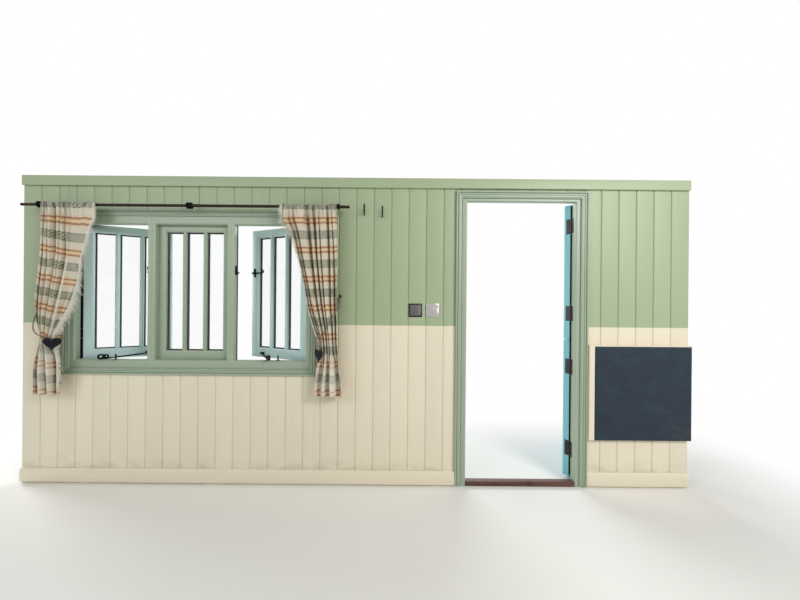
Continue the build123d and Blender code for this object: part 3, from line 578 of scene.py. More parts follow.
@dataclass(frozen=True)
class Slate(Finish):
    """Riven slate, dark blue grey with a rusty patch here and there."""

    name: str = "slate"

    def draw(self, graph: Graph) -> None:
        """Draws the nodes.

        Args:
            graph: The material's empty graph.
        """
        riven = graph.noise((7, 7, 11), 6, 1.1)
        flakes = graph.cells((60, 60, 38), "SMOOTH_F1")
        pale = graph.noise(240, 3).ramp(0.62, 0.8)
        colour = graph.mix(riven, srgb(25, 35, 45), srgb(48, 62, 75))
        colour = graph.mix(pale * 0.34, colour, srgb(104, 114, 126))
        rusty = (riven * graph.noise(3, 3)).ramp(0.34, 0.46)
        colour = graph.mix(rusty * 0.22, colour, srgb(98, 76, 58))
        height = riven * 0.7 + flakes * 0.3
        graph.surface(colour, 0.46 + riven * 0.22, graph.bump(height, 0.0022), specular_ior_level=0.25)


@dataclass(frozen=True)
class PaleFloor(Finish):
    """A plain pale floor that is as white as the sky away from the wall, where no shadow reaches."""

    name: str
    colour: Colour

    def draw(self, graph: Graph) -> None:
        """Draws the nodes.

        Args:
            graph: The material's empty graph.
        """
        plain = graph.node("BsdfDiffuse", None, {"Color": (*self.colour, 1)}).outputs[0]
        white = graph.node("Emission", None, {"Color": (1, 1, 1, 1), "Strength": 1.0}).outputs[0]
        x, y, _ = graph.axes()
        far = 1 - (1 - y.ramp(0.15, 1.3)) * (1 - (0 - y).ramp(0.9, 2.0)) * (1 - abs(x).ramp(2.3, 3.2))
        shader = graph.node("MixShader", None, {0: far * graph.seen().ramp(0, 1), 1: plain, 2: white})
        graph.node("OutputMaterial", None, {"Surface": shader.outputs[0]})


SAGE = srgb(162, 177, 143)
CREAM = srgb(232, 223, 200)
PALE_SAGE = srgb(188, 200, 172)
PALE_CREAM = srgb(240, 234, 218)

WALL_PAINT = TwoTonePaint("sage_and_cream_paint", SAGE, CREAM, change_height=1.024, board=0.112)
SAGE_PAINT = Paint("sage_paint", SAGE, PALE_SAGE, Run.LEVEL)
OUTER_PAINT = Paint("outer_sage_paint", srgb(138, 154, 126), srgb(196, 184, 150), Run.UPRIGHT, 0.5, 0.5)
CREAM_PAINT = Paint("cream_paint", CREAM, PALE_CREAM, Run.MARKED)
JOINERY_PAINT = Paint("joinery_paint", srgb(158, 174, 152), srgb(210, 219, 203), Run.MARKED, 0.36)
# The joinery paint made paler for the two open casements: painted light for the daylight that falls on them.
JOINERY_PAINT_PAINTED_LIGHTER = Paint("sash_paint", srgb(200, 224, 223), srgb(230, 240, 238), Run.MARKED, 0.34)
DOOR_PAINT = Paint("door_paint", srgb(132, 204, 215), srgb(208, 230, 232), Run.MARKED, 0.38, 0.12)
UPRIGHT_SOFTWOOD = Timber("softwood_upright", srgb(214, 182, 132), srgb(168, 122, 74), Run.UPRIGHT)
LEVEL_SOFTWOOD = Timber("softwood_level", srgb(214, 182, 132), srgb(168, 122, 74), Run.LEVEL)
HARDWOOD = Timber("hardwood", srgb(104, 68, 56), srgb(58, 38, 34), Run.LEVEL, 0.36, 64)
BLACK_IRON = Metal("black_iron", srgb(9, 9, 11), srgb(24, 22, 20), 0.05, 0.5, gloss=0.12)
HINGE_STEEL = Metal("hinge_steel", srgb(58, 58, 60), srgb(84, 70, 58), 0.85, 0.36)
RUST_IRON = Metal("rust_iron", srgb(32, 21, 14), srgb(66, 39, 23), 0.2, 0.55, 0.5, gloss=0.3)
BLACK_METAL = Metal("black_metal", srgb(30, 29, 30), srgb(46, 44, 46), 0.6, 0.34, 0.2, 0.0001)
PEWTER = Metal("pewter", srgb(104, 102, 100), srgb(84, 82, 82), 0.9, 0.3, 0.3, 0.0001)
CHROME = Metal("chrome", srgb(178, 174, 170), srgb(160, 156, 152), 1.0, 0.16, 0.2, 0.00001)
# Black rubber for the pane gaskets, and painted shadow for the strips beside the open door leaves and
# casements.
BLACK_RUBBER_AND_SHADOW = Metal("black_rubber", srgb(14, 14, 15), srgb(24, 24, 25), 0.0, 0.6, 0.3, 0.0001, 0.12)
NATURAL_CORD = Fibre("natural_cord", srgb(226, 218, 198), srgb(132, 124, 108), 900, 0.0004)
FRINGE_THREAD = Fibre("fringe_thread", srgb(246, 243, 234), srgb(222, 216, 200), 500, 0.0003)
NAVY_FELT = Fibre("navy_felt", srgb(21, 22, 32), srgb(9, 10, 15), 420, 0.0009, 0.1)
COTTON = StripedCotton()
WINDOW_GLASS = Glass()
SLATE = Slate()
FLOOR = PaleFloor("pale_floor", srgb(247, 246, 243))


class Workshop:
    """Keeps each finish's material, so that pieces with one finish share it."""

    materials: dict[Finish, bpy.types.Material] = {}

    @classmethod
    def material(cls, finish: Finish) -> bpy.types.Material:
        """The material of a finish, built the first time.

        Args:
            finish: The finish.

        Returns:
            The material.
        """
        if finish not in cls.materials:
            cls.materials[finish] = finish.material()
        return cls.materials[finish]

    @classmethod
    def dress(cls, node: str, finish: Finish) -> None:
        """Gives a CAD node its material.

        Args:
            node: The node's name.
            finish: The finish.
        """
        slots = FRAME["nodes"][node].data.materials
        slots.clear()
        slots.append(cls.material(finish))
        LOG.info("dressed %s", node)


# Shapes


class Axis(Enum):
    """An axis of the wall's frame."""

    X = 0
    Y = 1
    Z = 2

    def place(self, outline: Array, at: Amount) -> Array:
        """Flat points (a, b) as points in space, a distance along this axis."""
        return np.insert(outline[..., :2], self.value, at, axis=-1)


@dataclass(frozen=True)
class Extent:
    """A box along the axes, in metres."""

    x0: float
    x1: float
    y0: float
    y1: float
    z0: float
    z1: float

    @classmethod
    def of(cls, node: str) -> "Extent":
        """The box of a CAD node at rest."""
        low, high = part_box(node)
        return cls(low.x, high.x, low.y, high.y, low.z, high.z)


def rounded(outline: Outline, radius: Amount, steps: int = 2) -> Array:
    """Rounds the corners of a closed outline.

    Each corner P becomes the parabola (1-s)^2 A + 2s(1-s) P + s^2 B, from the point A one radius back
    along the side before it to the point B one radius along the side after it. A radius is at most
    0.45 of the shorter side.

    Args:
        outline: Points (a, b).
        radius: Distance from the corner to where the curve starts, for all or by corner.
        steps: Chords to a corner.

    Returns:
        Rows of (a, b, arris), where arris is 1 on the curve of a corner that stands out, -1 on that of
        a hollow one and 0 at their ends.
    """
    outline = np.asarray(outline, float)
    back, on = np.roll(outline, 1, 0) - outline, np.roll(outline, -1, 0) - outline
    back_length = np.linalg.norm(back, axis=1)[:, None]
    on_length = np.linalg.norm(on, axis=1)[:, None]
    reach = np.minimum(np.reshape(radius, (-1, 1)), 0.45 * np.minimum(back_length, on_length))
    start, end = outline + back / back_length * reach, outline + on / on_length * reach
    s = np.linspace(0, 1, steps + 1)[:, None, None]
    curve = (1 - s) ** 2 * start + 2 * s * (1 - s) * outline + s ** 2 * end
    ahead = np.roll(outline, -1, 0)
    area = (outline[:, 0] * ahead[:, 1] - outline[:, 1] * ahead[:, 0]).sum()
    turn = (on[:, :1] * back[:, 1:] - on[:, 1:] * back[:, :1]) * area
    arris = np.where((s > 0) & (s < 1) & (reach > 0.0001), np.sign(turn), 0.0)
    return np.concatenate([curve, arris], axis=2).transpose(1, 0, 2).reshape(-1, 3)


def rectangle(a0: float, a1: float, b0: float, b1: float, radius: float = 0.001, steps: int = 2) -> Array:
    """A rectangle with rounded corners."""
    return rounded([(a0, b0), (a1, b0), (a1, b1), (a0, b1)], radius, steps)


def oblong(half_a: float, half_b: float, radius: float, steps: int = 2, middle: Pair = (0, 0)) -> Array:
    """A rectangle with rounded corners round its middle."""
    a, b = middle
    return rectangle(a - half_a, a + half_a, b - half_b, b + half_b, radius, steps)


def disc(radius: float, sides: int = 20) -> Array:
    """A circle's points: (r cos t, r sin t)."""
    turn = np.arange(sides) * 2 * pi / sides
    return np.stack([radius * np.cos(turn), radius * np.sin(turn)], axis=1)


def arc(centre: Pair, a: float, b: float, start: float, end: float, count: int) -> Array:
    """Points of an ellipse from one angle to another: centre + (a cos t, b sin t)."""
    t = np.linspace(start, end, count)
    return np.stack([centre[0] + a * np.cos(t), centre[1] + b * np.sin(t)], axis=1)


def through(points: Outline, count: int) -> Array:
    """A smooth curve through points, in any number of dimensions.

    Between P1 and P2 it is half of 2P1 + (P2-P0)s + (2P0-5P1+4P2-P3)s^2 + (3P1-P0-3P2+P3)s^3.

    Args:
        points: Rows of coordinates.
        count: How many points to give.

    Returns:
        Rows of coordinates.
    """
    points = np.asarray(points, float)
    padded = np.vstack([2 * points[0] - points[1], points, 2 * points[-1] - points[-2]])
    at = np.linspace(0, len(points) - 1, count)
    i = np.minimum(at.astype(int), len(points) - 2)
    s = (at - i)[:, None]
    p0, p1, p2, p3 = (padded[i + k] for k in range(4))
    cubic = (2 * p0 - 5 * p1 + 4 * p2 - p3) * s ** 2 + (3 * p1 - p0 - 3 * p2 + p3) * s ** 3
    return 0.5 * (2 * p1 + (p2 - p0) * s + cubic)


def smooth_step(value: Array, low: float, high: float) -> Array:
    """0 below low, 1 above high, and 3t^2 - 2t^3 between."""
    t = np.clip((value - low) / (high - low), 0, 1)
    return t * t * (3 - 2 * t)


def lathe(profile: Outline, centre: Point, axis: Axis, sides: int) -> Array:
    """Circles of points round an axis: (r cos t, r sin t) at each distance along it.

    Args:
        profile: Rows of (distance along the axis, radius).
        centre: Where the distances start.
        axis: The axis.
        sides: Points to a circle.

    Returns:
        Rings by points by 3.
    """
    profile = np.asarray(profile, float)
    rings = profile[:, 1][:, None, None] * disc(1.0, sides)
    return np.stack([axis.place(ring, at) for ring, at in zip(rings, profile[:, 0])]) + centre


def crosswise(path: Array, reference: Point) -> tuple[Array, Array]:
    """Two directions across a path at each of its points, at right angles to it and to each other.

    Args:
        path: Its points.
        reference: A direction that the path never runs along.

    Returns:
        The direction across both the path and the reference, and the one across the path and that.
    """
    tangent = np.gradient(path, axis=0)
    tangent /= np.linalg.norm(tangent, axis=1)[:, None]
    side = np.cross(reference, tangent)
    side /= np.linalg.norm(side, axis=1)[:, None]
    return side, np.cross(tangent, side)


def straight(start: Array, end: Array, count: int) -> Array:
    """Points along a straight line."""
    return start + (end - start) * np.linspace(0, 1, count)[:, None]


def add_object(name: str, data: bpy.types.ID) -> bpy.types.Object:
    """Puts a mesh, a lamp or a camera into the scene.

    Args:
        name: Its name.
        data: The mesh, lamp or camera.

    Returns:
        The object.
    """
    made = bpy.data.objects.new(name, data)
    bpy.context.scene.collection.objects.link(made)
    return made


def face_outwards(mesh: bpy.types.Mesh, weld: float = 0.0) -> None:
    """Turns the faces of a closed mesh outwards.

    Args:
        mesh: The mesh.
        weld: The distance up to which its points are joined first, if they are.
    """
    shell = bmesh.new()
    shell.from_mesh(mesh)
    if weld:
        bmesh.ops.remove_doubles(shell, verts=shell.verts, dist=weld)
    bmesh.ops.recalc_face_normals(shell, faces=shell.faces)
    shell.to_mesh(mesh)
    shell.free()


class Stock:
    """Faces gathered for one piece, before they become an object."""

    def __init__(self) -> None:
        """Starts with nothing in it."""
        self.points: list[Array] = []
        self.quads: list[Array] = []
        self.lids: list[list[int]] = []
        self.marks: dict[str, list[Array]] = {"arris": [], "level": [], "valley": []}
        self.flat: list[Array] = []
        self.count = 0

    def grid(self, points: Array, around: bool = False, over: bool = False, arris: Amount = 0.0,
             level: float = 0.0, flat: Optional[Array] = None, valley: Amount = 0.0) -> Array:
        """Adds a grid of points and the faces between them.

        Args:
            points: Rows by columns by 3.
            around: Whether the last column joins the first.
            over: Whether the last row joins the first.
            arris: 1 at arrises, by point or for all.
            level: 1 where the piece lies level.
            flat: The points' places on the flat cloth.
            valley: Painted shade on a cloth, 1 deep in its folds, down to -1 for painted highlight, by point.

        Returns:
            The points' numbers, rows by columns.
        """
        rows, columns = points.shape[:2]
        number = np.arange(rows * columns).reshape(rows, columns) + self.count
        index = np.hstack([number, number[:, :1]]) if around else number
        index = np.vstack([index, index[:1]]) if over else index
        corners = [index[:-1, :-1], index[:-1, 1:], index[1:, 1:], index[1:, :-1]]
        self.quads.append(np.stack(corners, axis=-1).reshape(-1, 4))
        self.points.append(points.reshape(-1, 3))
        self.marks["arris"].append(np.broadcast_to(arris, (rows, columns)).reshape(-1))
        self.marks["level"].append(np.full(rows * columns, level))
        self.marks["valley"].append(np.broadcast_to(valley, (rows, columns)).reshape(-1))
        self.flat.append(np.zeros((rows * columns, 2)) if flat is None else flat.reshape(-1, 2))
        self.count += rows * columns
        return number

    def bar(self, sections: Array, arris: Amount = 0.0, level: float = 0.0) -> None:
        """Adds a closed bar from its sections, which are rows of points, with a lid at each end."""
        number = self.grid(sections, around=True, arris=arris, level=level)
        self.lids += [number[0].tolist(), number[-1].tolist()]

    def slab(self, outline: Array, axis: Axis, low: float, high: float, ease: float = 0.0008,
             level: float = 0.0) -> None:
        """Adds an outline run along an axis, with eased ends.

        The end rings lie in from the outline by the ease, towards its middle. Two more rings near the
        ends keep the mark of their arrises short.

        Args:
            outline: Flat points, with or without their arris mark.
            axis: The axis.
            low: Where it starts.
            high: Where it ends.
            ease: Size of the eased edge at each end.
            level: 1 where the piece lies level.
        """
        mark = outline[:, 2] if outline.shape[1] > 2 else np.zeros(len(outline))
        flat_points = outline[:, :2]
        middle = (flat_points.min(0) + flat_points.max(0)) / 2
        inward = np.clip((flat_points - middle) / np.maximum(ease, 1e-9), -1, 1) * ease
        inner = flat_points - inward
        ease = min(ease, (high - low) * 0.45)
        near = min(4 * ease, (high - low) * 0.49)
        between = [axis.place(flat_points, at) for at in (low + ease, low + near, high - near, high - ease)]
        sections = np.stack([axis.place(inner, low), *between, axis.place(inner, high)])
        edge = np.array([0.0, 1.0, 0.0, 0.0, 1.0, 0.0])[:, None]
        self.bar(sections, np.maximum(mark[None, :], edge), level)

    def block(self, x0: float, x1: float, y0: float, y1: float, z0: float, z1: float,
              ease: float = 0.001, level: float = 0.0) -> None:
        """Adds a box with eased edges."""
        self.slab(rectangle(x0, x1, y0, y1, ease), Axis.Z, z0, z1, ease, level)

    def turned(self, profile: Outline, centre: Point, axis: Axis, sides: int = 24) -> None:
        """Adds a profile of (distance along the axis, radius) turned about it, as on a lathe."""
        self.bar(lathe(profile, centre, axis, sides))

    def hoop(self, profile: Outline, centre: Point, axis: Axis, sides: int = 28) -> None:
        """Adds a closed profile of (distance along the axis, radius) turned about it, with a hole."""
        self.grid(lathe(profile, centre, axis, sides), around=True, over=True)

    def sweep(self, path: Array, outline: Array, reference: Point, scale: Amount = 1.0) -> None:
        """Adds an outline carried along a path.

        Its first coordinate lies across both the path and the reference direction, and its second
        across the path and the first. The scale may change along the path.

        Args:
            path: Points along the path.
            outline: Flat points, with or without their arris mark.
            reference: A direction that the path never runs along.
            scale: Size of the outline, for all the path or by point.
        """
        side, rise = crosswise(path, reference)
        size = np.broadcast_to(np.asarray(scale, float), len(path))[:, None, None]
        a, b = outline[:, 0][None, :, None], outline[:, 1][None, :, None]
        sections = path[:, None] + size * (a * side[:, None] + b * rise[:, None])
        self.bar(sections, outline[:, 2] if outline.shape[1] > 2 else 0.0)

    def screw(self, centre: Point, axis: Axis, out: int, radius: float = 0.0032) -> None:
        """Adds a round screw head with a shallow dome, standing out along the axis."""
        dome = [(-0.0006, radius), (0.0002, radius), (0.0005, radius * 0.7), (0.0006, radius * 0.25)]
        self.turned(np.array(dome) * (out, 1), centre, axis, 12)

    def turn(self, pin: Pair, angle: float, start: int = 0) -> "Stock":
        """Swings what was gathered, from a part's number on, about an upright pin.

        Args:
            pin: X and Y of the pin.
            angle: Degrees, clockwise seen from above.
            start: Number of the first part to swing.

        Returns:
            The stock itself.
        """
        c, s = cos(radians(angle)), sin(radians(angle))
        matrix = np.array([(c, s, 0), (-s, c, 0), (0, 0, 1)])
        centre = np.array([*pin, 0])
        self.points[start:] = [(part - centre) @ matrix + centre for part in self.points[start:]]
        return self

    def move(self, by: Point) -> "Stock":
        """Moves what was gathered."""
        self.points = [part + by for part in self.points]
        return self

    def stand(self, below: float, foot: float) -> "Stock":
        """Brings every point below a height down to the foot.

        Args:
            below: The height.
            foot: The foot's height.

        Returns:
            The stock itself.
        """
        for part in self.points:
            part[:, 2] = np.where(part[:, 2] < below, foot, part[:, 2])
        return self

    def piece(self, name: str, finish: Finish, replaces: tuple[str, ...] = (), body: str = "root",
              sharp: float = 38) -> bpy.types.Object:
        """Makes the object.

        Args:
            name: The piece's name.
            finish: Its finish.
            replaces: CAD nodes that it stands for.
            body: The CAD body that it rides on.
            sharp: Angle between faces, in degrees, above which their edge stays crisp.

        Returns:
            The object, which rides on its body.
        """
        mesh = bpy.data.meshes.new(name)
        faces = np.concatenate(self.quads).tolist() + self.lids
        mesh.from_pydata(np.concatenate(self.points).tolist(), [], faces)
        for key, values in self.marks.items():
            mesh.attributes.new(key, "FLOAT", "POINT").data.foreach_set("value", np.concatenate(values))
        flat = np.concatenate(self.flat)
        if flat.any():
            corner_points = np.zeros(len(mesh.loops), int)
            mesh.loops.foreach_get("vertex_index", corner_points)
            mesh.uv_layers.new(name="flat").data.foreach_set("uv", flat[corner_points].ravel())
        face_outwards(mesh)
        mesh.shade_smooth()
        mesh.set_sharp_from_angle(angle=radians(sharp))
        mesh.materials.append(Workshop.material(finish))
        made = add_object(name, mesh)
        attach(made, body)
        if replaces:
            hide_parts(*replaces)
        LOG.info("made %s", name)
        return made


@dataclass(frozen=True)
class Opening:
    """A rectangular opening in the wall's plane, with the widths of the timber on its four sides."""

    x0: float
    x1: float
    z0: float
    z1: float
    left: float
    right: float
    bottom: float
    top: float

    def sections(self, profile: Array, nominal: float) -> Array:
        """The profile at the opening's four corners, mitred.

        Args:
            profile: Rows of (distance from the opening, y, arris). A distance past the middle of the
                nominal width is measured from the outer edge of each side instead.
            nominal: The width that the profile was drawn with.

        Returns:
            Corners by points by 3, from the lower left corner round by the lower right one.
        """
        distance, y = profile[:, 0], profile[:, 1]
        left, right, bottom, top = (
            np.where(distance > nominal / 2, distance - nominal + width, distance)
            for width in (self.left, self.right, self.bottom, self.top))
        corners = [(self.x0 - left, self.z0 - bottom), (self.x1 + right, self.z0 - bottom),
                   (self.x1 + right, self.z1 + top), (self.x0 - left, self.z1 + top)]
        return np.stack([np.stack([x, y, z], axis=1) for x, z in corners])


class Side(Enum):
    """A side of a frame, as the number of the corner that it starts from."""

    BOTTOM = 0
    RIGHT = 1
    TOP = 2
    LEFT = 3


def bars(opening: Opening, profile: Array, nominal: float, *sides: Side,
         stock: Optional[Stock] = None) -> Stock:
    """Mitred bars on some sides of an opening, each a closed bar.

    Args:
        opening: The opening.
        profile: The bars' section, as Opening.sections takes it.
        nominal: The width that the profile was drawn with.
        sides: The sides.
        stock: What the bars are added to, if there is something.

    Returns:
        The stock with the bars in it.
    """
    stock = stock or Stock()
    corners = opening.sections(profile, nominal)
    for side in sides:
        pair = corners[[side.value, (side.value + 1) % 4]]
        stock.bar(pair, profile[:, 2], 1.0 if side in (Side.BOTTOM, Side.TOP) else 0.0)
    return stock


# The wall


@dataclass
class Boarding:
    """Tongued and grooved boards with a V joint between them, on one side of the studs.

    A board's section has chamfered arrises on its face, a tongue on one edge and a groove that takes
    the next board's tongue on the other. A board cut to an opening has a square edge there.
    """

    name: str
    finish: Finish
    out: int
    pitch: float = 0.112
    chamfer: float = 0.0045
    gap: float = 0.0012
    tongue: float = 0.0035
    ease: float = 0.0007
    uneven: float = 0.0003
    seed: int = 4

    def outline(self, x0: float, x1: float, face: float, thick: float, joints: tuple[bool, bool],
                set_back: Pair) -> Array:
        """The section of one board, as points (x, y).

        Args:
            x0: Its left edge.
            x1: Its right edge.
            face: Y of the face that shows.
            thick: Its thickness.
            joints: Whether its left and right edges are joints.
            set_back: How far its face lies back at its left and right arrises.

        Returns:
            Rows of (x, y, arris).
        """
        half, c, t = self.gap / 2, self.chamfer, self.tongue
        high, low = thick * 0.42, thick * 0.68
        left = [(x0 + half, thick), (x0 + half, low + 0.0003), (x0 + t + 0.001, low + 0.0003),
                (x0 + t + 0.001, high - 0.0003), (x0 + half, high - 0.0003), (x0 + half, c),
                (x0 + half + c, set_back[0])]
        right = [(x1 - half - c, set_back[1]), (x1 - half, c), (x1 - half, high), (x1 + t, high),
                 (x1 + t, low), (x1 - half, low), (x1 - half, thick)]
        points = (left if joints[0] else [(x0, thick), (x0, set_back[0])])
        points = points + (right if joints[1] else [(x1, set_back[1]), (x1, thick)])
        x, depth = np.array(points).T
        return rounded(np.stack([x, face - self.out * depth], axis=1), self.ease)

    def area(self, stock: Stock, extent: Extent) -> None:
        """Adds the boards that cover an area.

        Args:
            stock: What the parts are added to.
            extent: The area's box.
        """
        face, back = (extent.y1, extent.y0) if self.out > 0 else (extent.y0, extent.y1)
        thick = abs(face - back)
        first = int(np.floor(extent.x0 / self.pitch + 1e-6))
        last = int(np.ceil(extent.x1 / self.pitch - 1e-6))
        for i in range(first, last):
            draw = np.random.default_rng(self.seed + 50 + i).uniform(0, self.uneven, 2)
            edges = (max(i * self.pitch, extent.x0), min((i + 1) * self.pitch, extent.x1))
            joints = (edges[0] > extent.x0 + 1e-5, edges[1] < extent.x1 - 1e-5)
            outline = self.outline(*edges, face, thick, joints, tuple(draw))
            sections = np.stack([Axis.Z.place(outline, z) for z in (extent.z0, extent.z1)])
            stock.bar(sections, outline[:, 2])

    def build(self, pieces: dict[str, tuple[str, list[Extent]]]) -> None:
        """Makes a piece for each node, from the areas that it covers.

        Args:
            pieces: By node, the piece's label and its areas.
        """
        for node, (label, extents) in pieces.items():
            stock = Stock()
            for extent in extents:
                self.area(stock, extent)
            stock.piece(f"{self.name}_{label}", self.finish, (node,))


@dataclass
class Walling:
    """The framing, the boards on both sides of it, the cornice board and the skirting."""

    upright_nodes: tuple[str, ...] = ("end_studs", "inner_studs")
    level_nodes: tuple[str, ...] = ("sole_plates", "head_plate", "cross_rails")
    skirting_bead: float = 0.012
    skirting_quirk: float = 0.002
    cornice_round: float = 0.005

    def build(self) -> None:
        """Dresses the framing and makes the boards and trim."""
        for node in self.upright_nodes:
            Workshop.dress(node, UPRIGHT_SOFTWOOD)
        for node in self.level_nodes:
            Workshop.dress(node, LEVEL_SOFTWOOD)
        areas = ("left", "over_window", "under_window", "middle", "over_door", "right")
        inner = {area: Extent.of(f"inner_boards_{area}") for area in areas}
        boards = Boarding("inner_boarding", WALL_PAINT, -1)
        boards.build({f"inner_boards_{area}": (area, [extent]) for area, extent in inner.items()})
        skin = Extent.of("outer_boards_beside_openings")
        outer = {area: Extent(e.x0, e.x1, skin.y0, skin.y1, e.z0, e.z1) for area, e in inner.items()}
        cladding = Boarding("outer_boarding", OUTER_PAINT, 1, chamfer=0.006)
        groups = {"beside_openings": ("left", "middle", "right"),
                  "over_openings": ("over_window", "over_door"), "under_window": ("under_window",)}
        cladding.build({f"outer_boards_{label}": (label, [outer[area] for area in group])
                        for label, group in groups.items()})
        self.cornice()
        self.skirting()

    def cornice(self) -> None:
        """The board along the top, its lower arris rounded."""
        e = Extent.of("cornice_board")
        r = self.cornice_round
        lower = arc((e.y0 + r, e.z0 + r), -r, -r, 0, pi / 2, 5)
        outline = rounded([(e.y1, e.z1), (e.y0, e.z1), *lower, (e.y1, e.z0)], 0.0006)
        stock = Stock()
        stock.slab(outline, Axis.X, e.x0, e.x1, level=1.0)
        stock.piece("cornice_board_rounded", SAGE_PAINT, ("cornice_board",))

    def skirting(self) -> None:
        """The skirting, with a quirk and a quarter round along its top."""
        e = Extent.of("skirting")
        door = Extent.of("door_architrave_sides")
        bead, quirk = self.skirting_bead, self.skirting_quirk
        top = arc((e.y0 + quirk + bead * 0.9, e.z1 - bead), -bead * 0.9, bead, 0, pi / 2, 6)
        face = [(e.y0, e.z0), (e.y0, e.z1 - bead - quirk), (e.y0 + quirk, e.z1 - bead - quirk * 0.4)]
        outline = rounded([(e.y1, e.z0), *face, *top, (e.y1, e.z1)], 0.0005)
        stock = Stock()
        for x0, x1 in ((e.x0, door.x0), (door.x1, e.x1)):
            stock.slab(outline, Axis.X, x0, x1, level=1.0)
        stock.piece("skirting_moulded", CREAM_PAINT, ("skirting",))


@dataclass
class Architrave:
    """A stepped architrave: an inner bead, a flat fascia, a raised step and a bead round its outer edge."""

    name: str
    level_part: str
    rails: tuple[Side, ...]
    width: float
    fascia: float = 0.0125
    proud: float = 0.019
    bead: float = 0.013
    quirk: float = 0.0038
    step: float = 0.0085
    inner_bead: float = 0.0065

    def profile(self, wall: float) -> Array:
        """Points (distance from the inner edge, y), from the wall out and back.

        Args:
            wall: Y of the wall's face.

        Returns:
            Rows of (distance, y, arris).
        """
        w, q, n = self.width, self.quirk, self.inner_bead
        low, end = self.fascia * 0.74, w - self.bead - q
        face = [(n + q * 0.4, wall - low + q * 0.3), (n + q, wall - low), (end - self.step, wall - low),
                (end - self.step + 0.0012, wall - self.fascia - 0.0015), (end, wall - self.fascia - 0.0015),
                (end + q * 0.4, wall - self.fascia + q)]
        inner = self.bead_top(n / 2, n / 2, wall - low * 0.8, self.fascia - low * 0.8)
        shoulder, radius = self.fascia * 0.82, self.bead / 2
        outer = self.bead_top(w - radius, radius, wall - shoulder, self.proud - shoulder)
        return rounded([(0.0, wall), *inner, *face, *outer, (w, wall)], 0.0009)

    @staticmethod
    def bead_top(middle: float, radius: float, shoulder: float, height: float) -> Array:
        """The top of a bead over its width: (middle + radius cos t, shoulder - height sin^0.7 t)."""
        t = np.linspace(pi, 0, 9)
        return np.stack([middle + radius * np.cos(t), shoulder - height * np.sin(t) ** 0.7], axis=1)

    def build(self) -> None:
        """Makes the two upright bars and the level ones, over their CAD nodes."""
        sides_node, rails_node = f"{self.name}_sides", f"{self.name}_{self.level_part}"
        a, b, w = Extent.of(sides_node), Extent.of(rails_node), self.width
        foot, profile = min(a.z0, b.z0), self.profile(a.y1)
        bottom = w if Side.BOTTOM in self.rails else 0.0
        opening = Opening(min(a.x0, b.x0) + w, max(a.x1, b.x1) - w, foot + bottom, max(a.z1, b.z1) - w,
                          w, w, bottom, w)
        uprights = bars(opening, profile, w, Side.LEFT, Side.RIGHT)
        if not bottom:
            uprights.stand(foot + w, foot)
        uprights.piece(f"{self.name}_sides_moulded", JOINERY_PAINT, (sides_node,))
        level = bars(opening, profile, w, *self.rails)
        level.piece(f"{self.name}_rails_moulded", JOINERY_PAINT, (rails_node,))


# The window


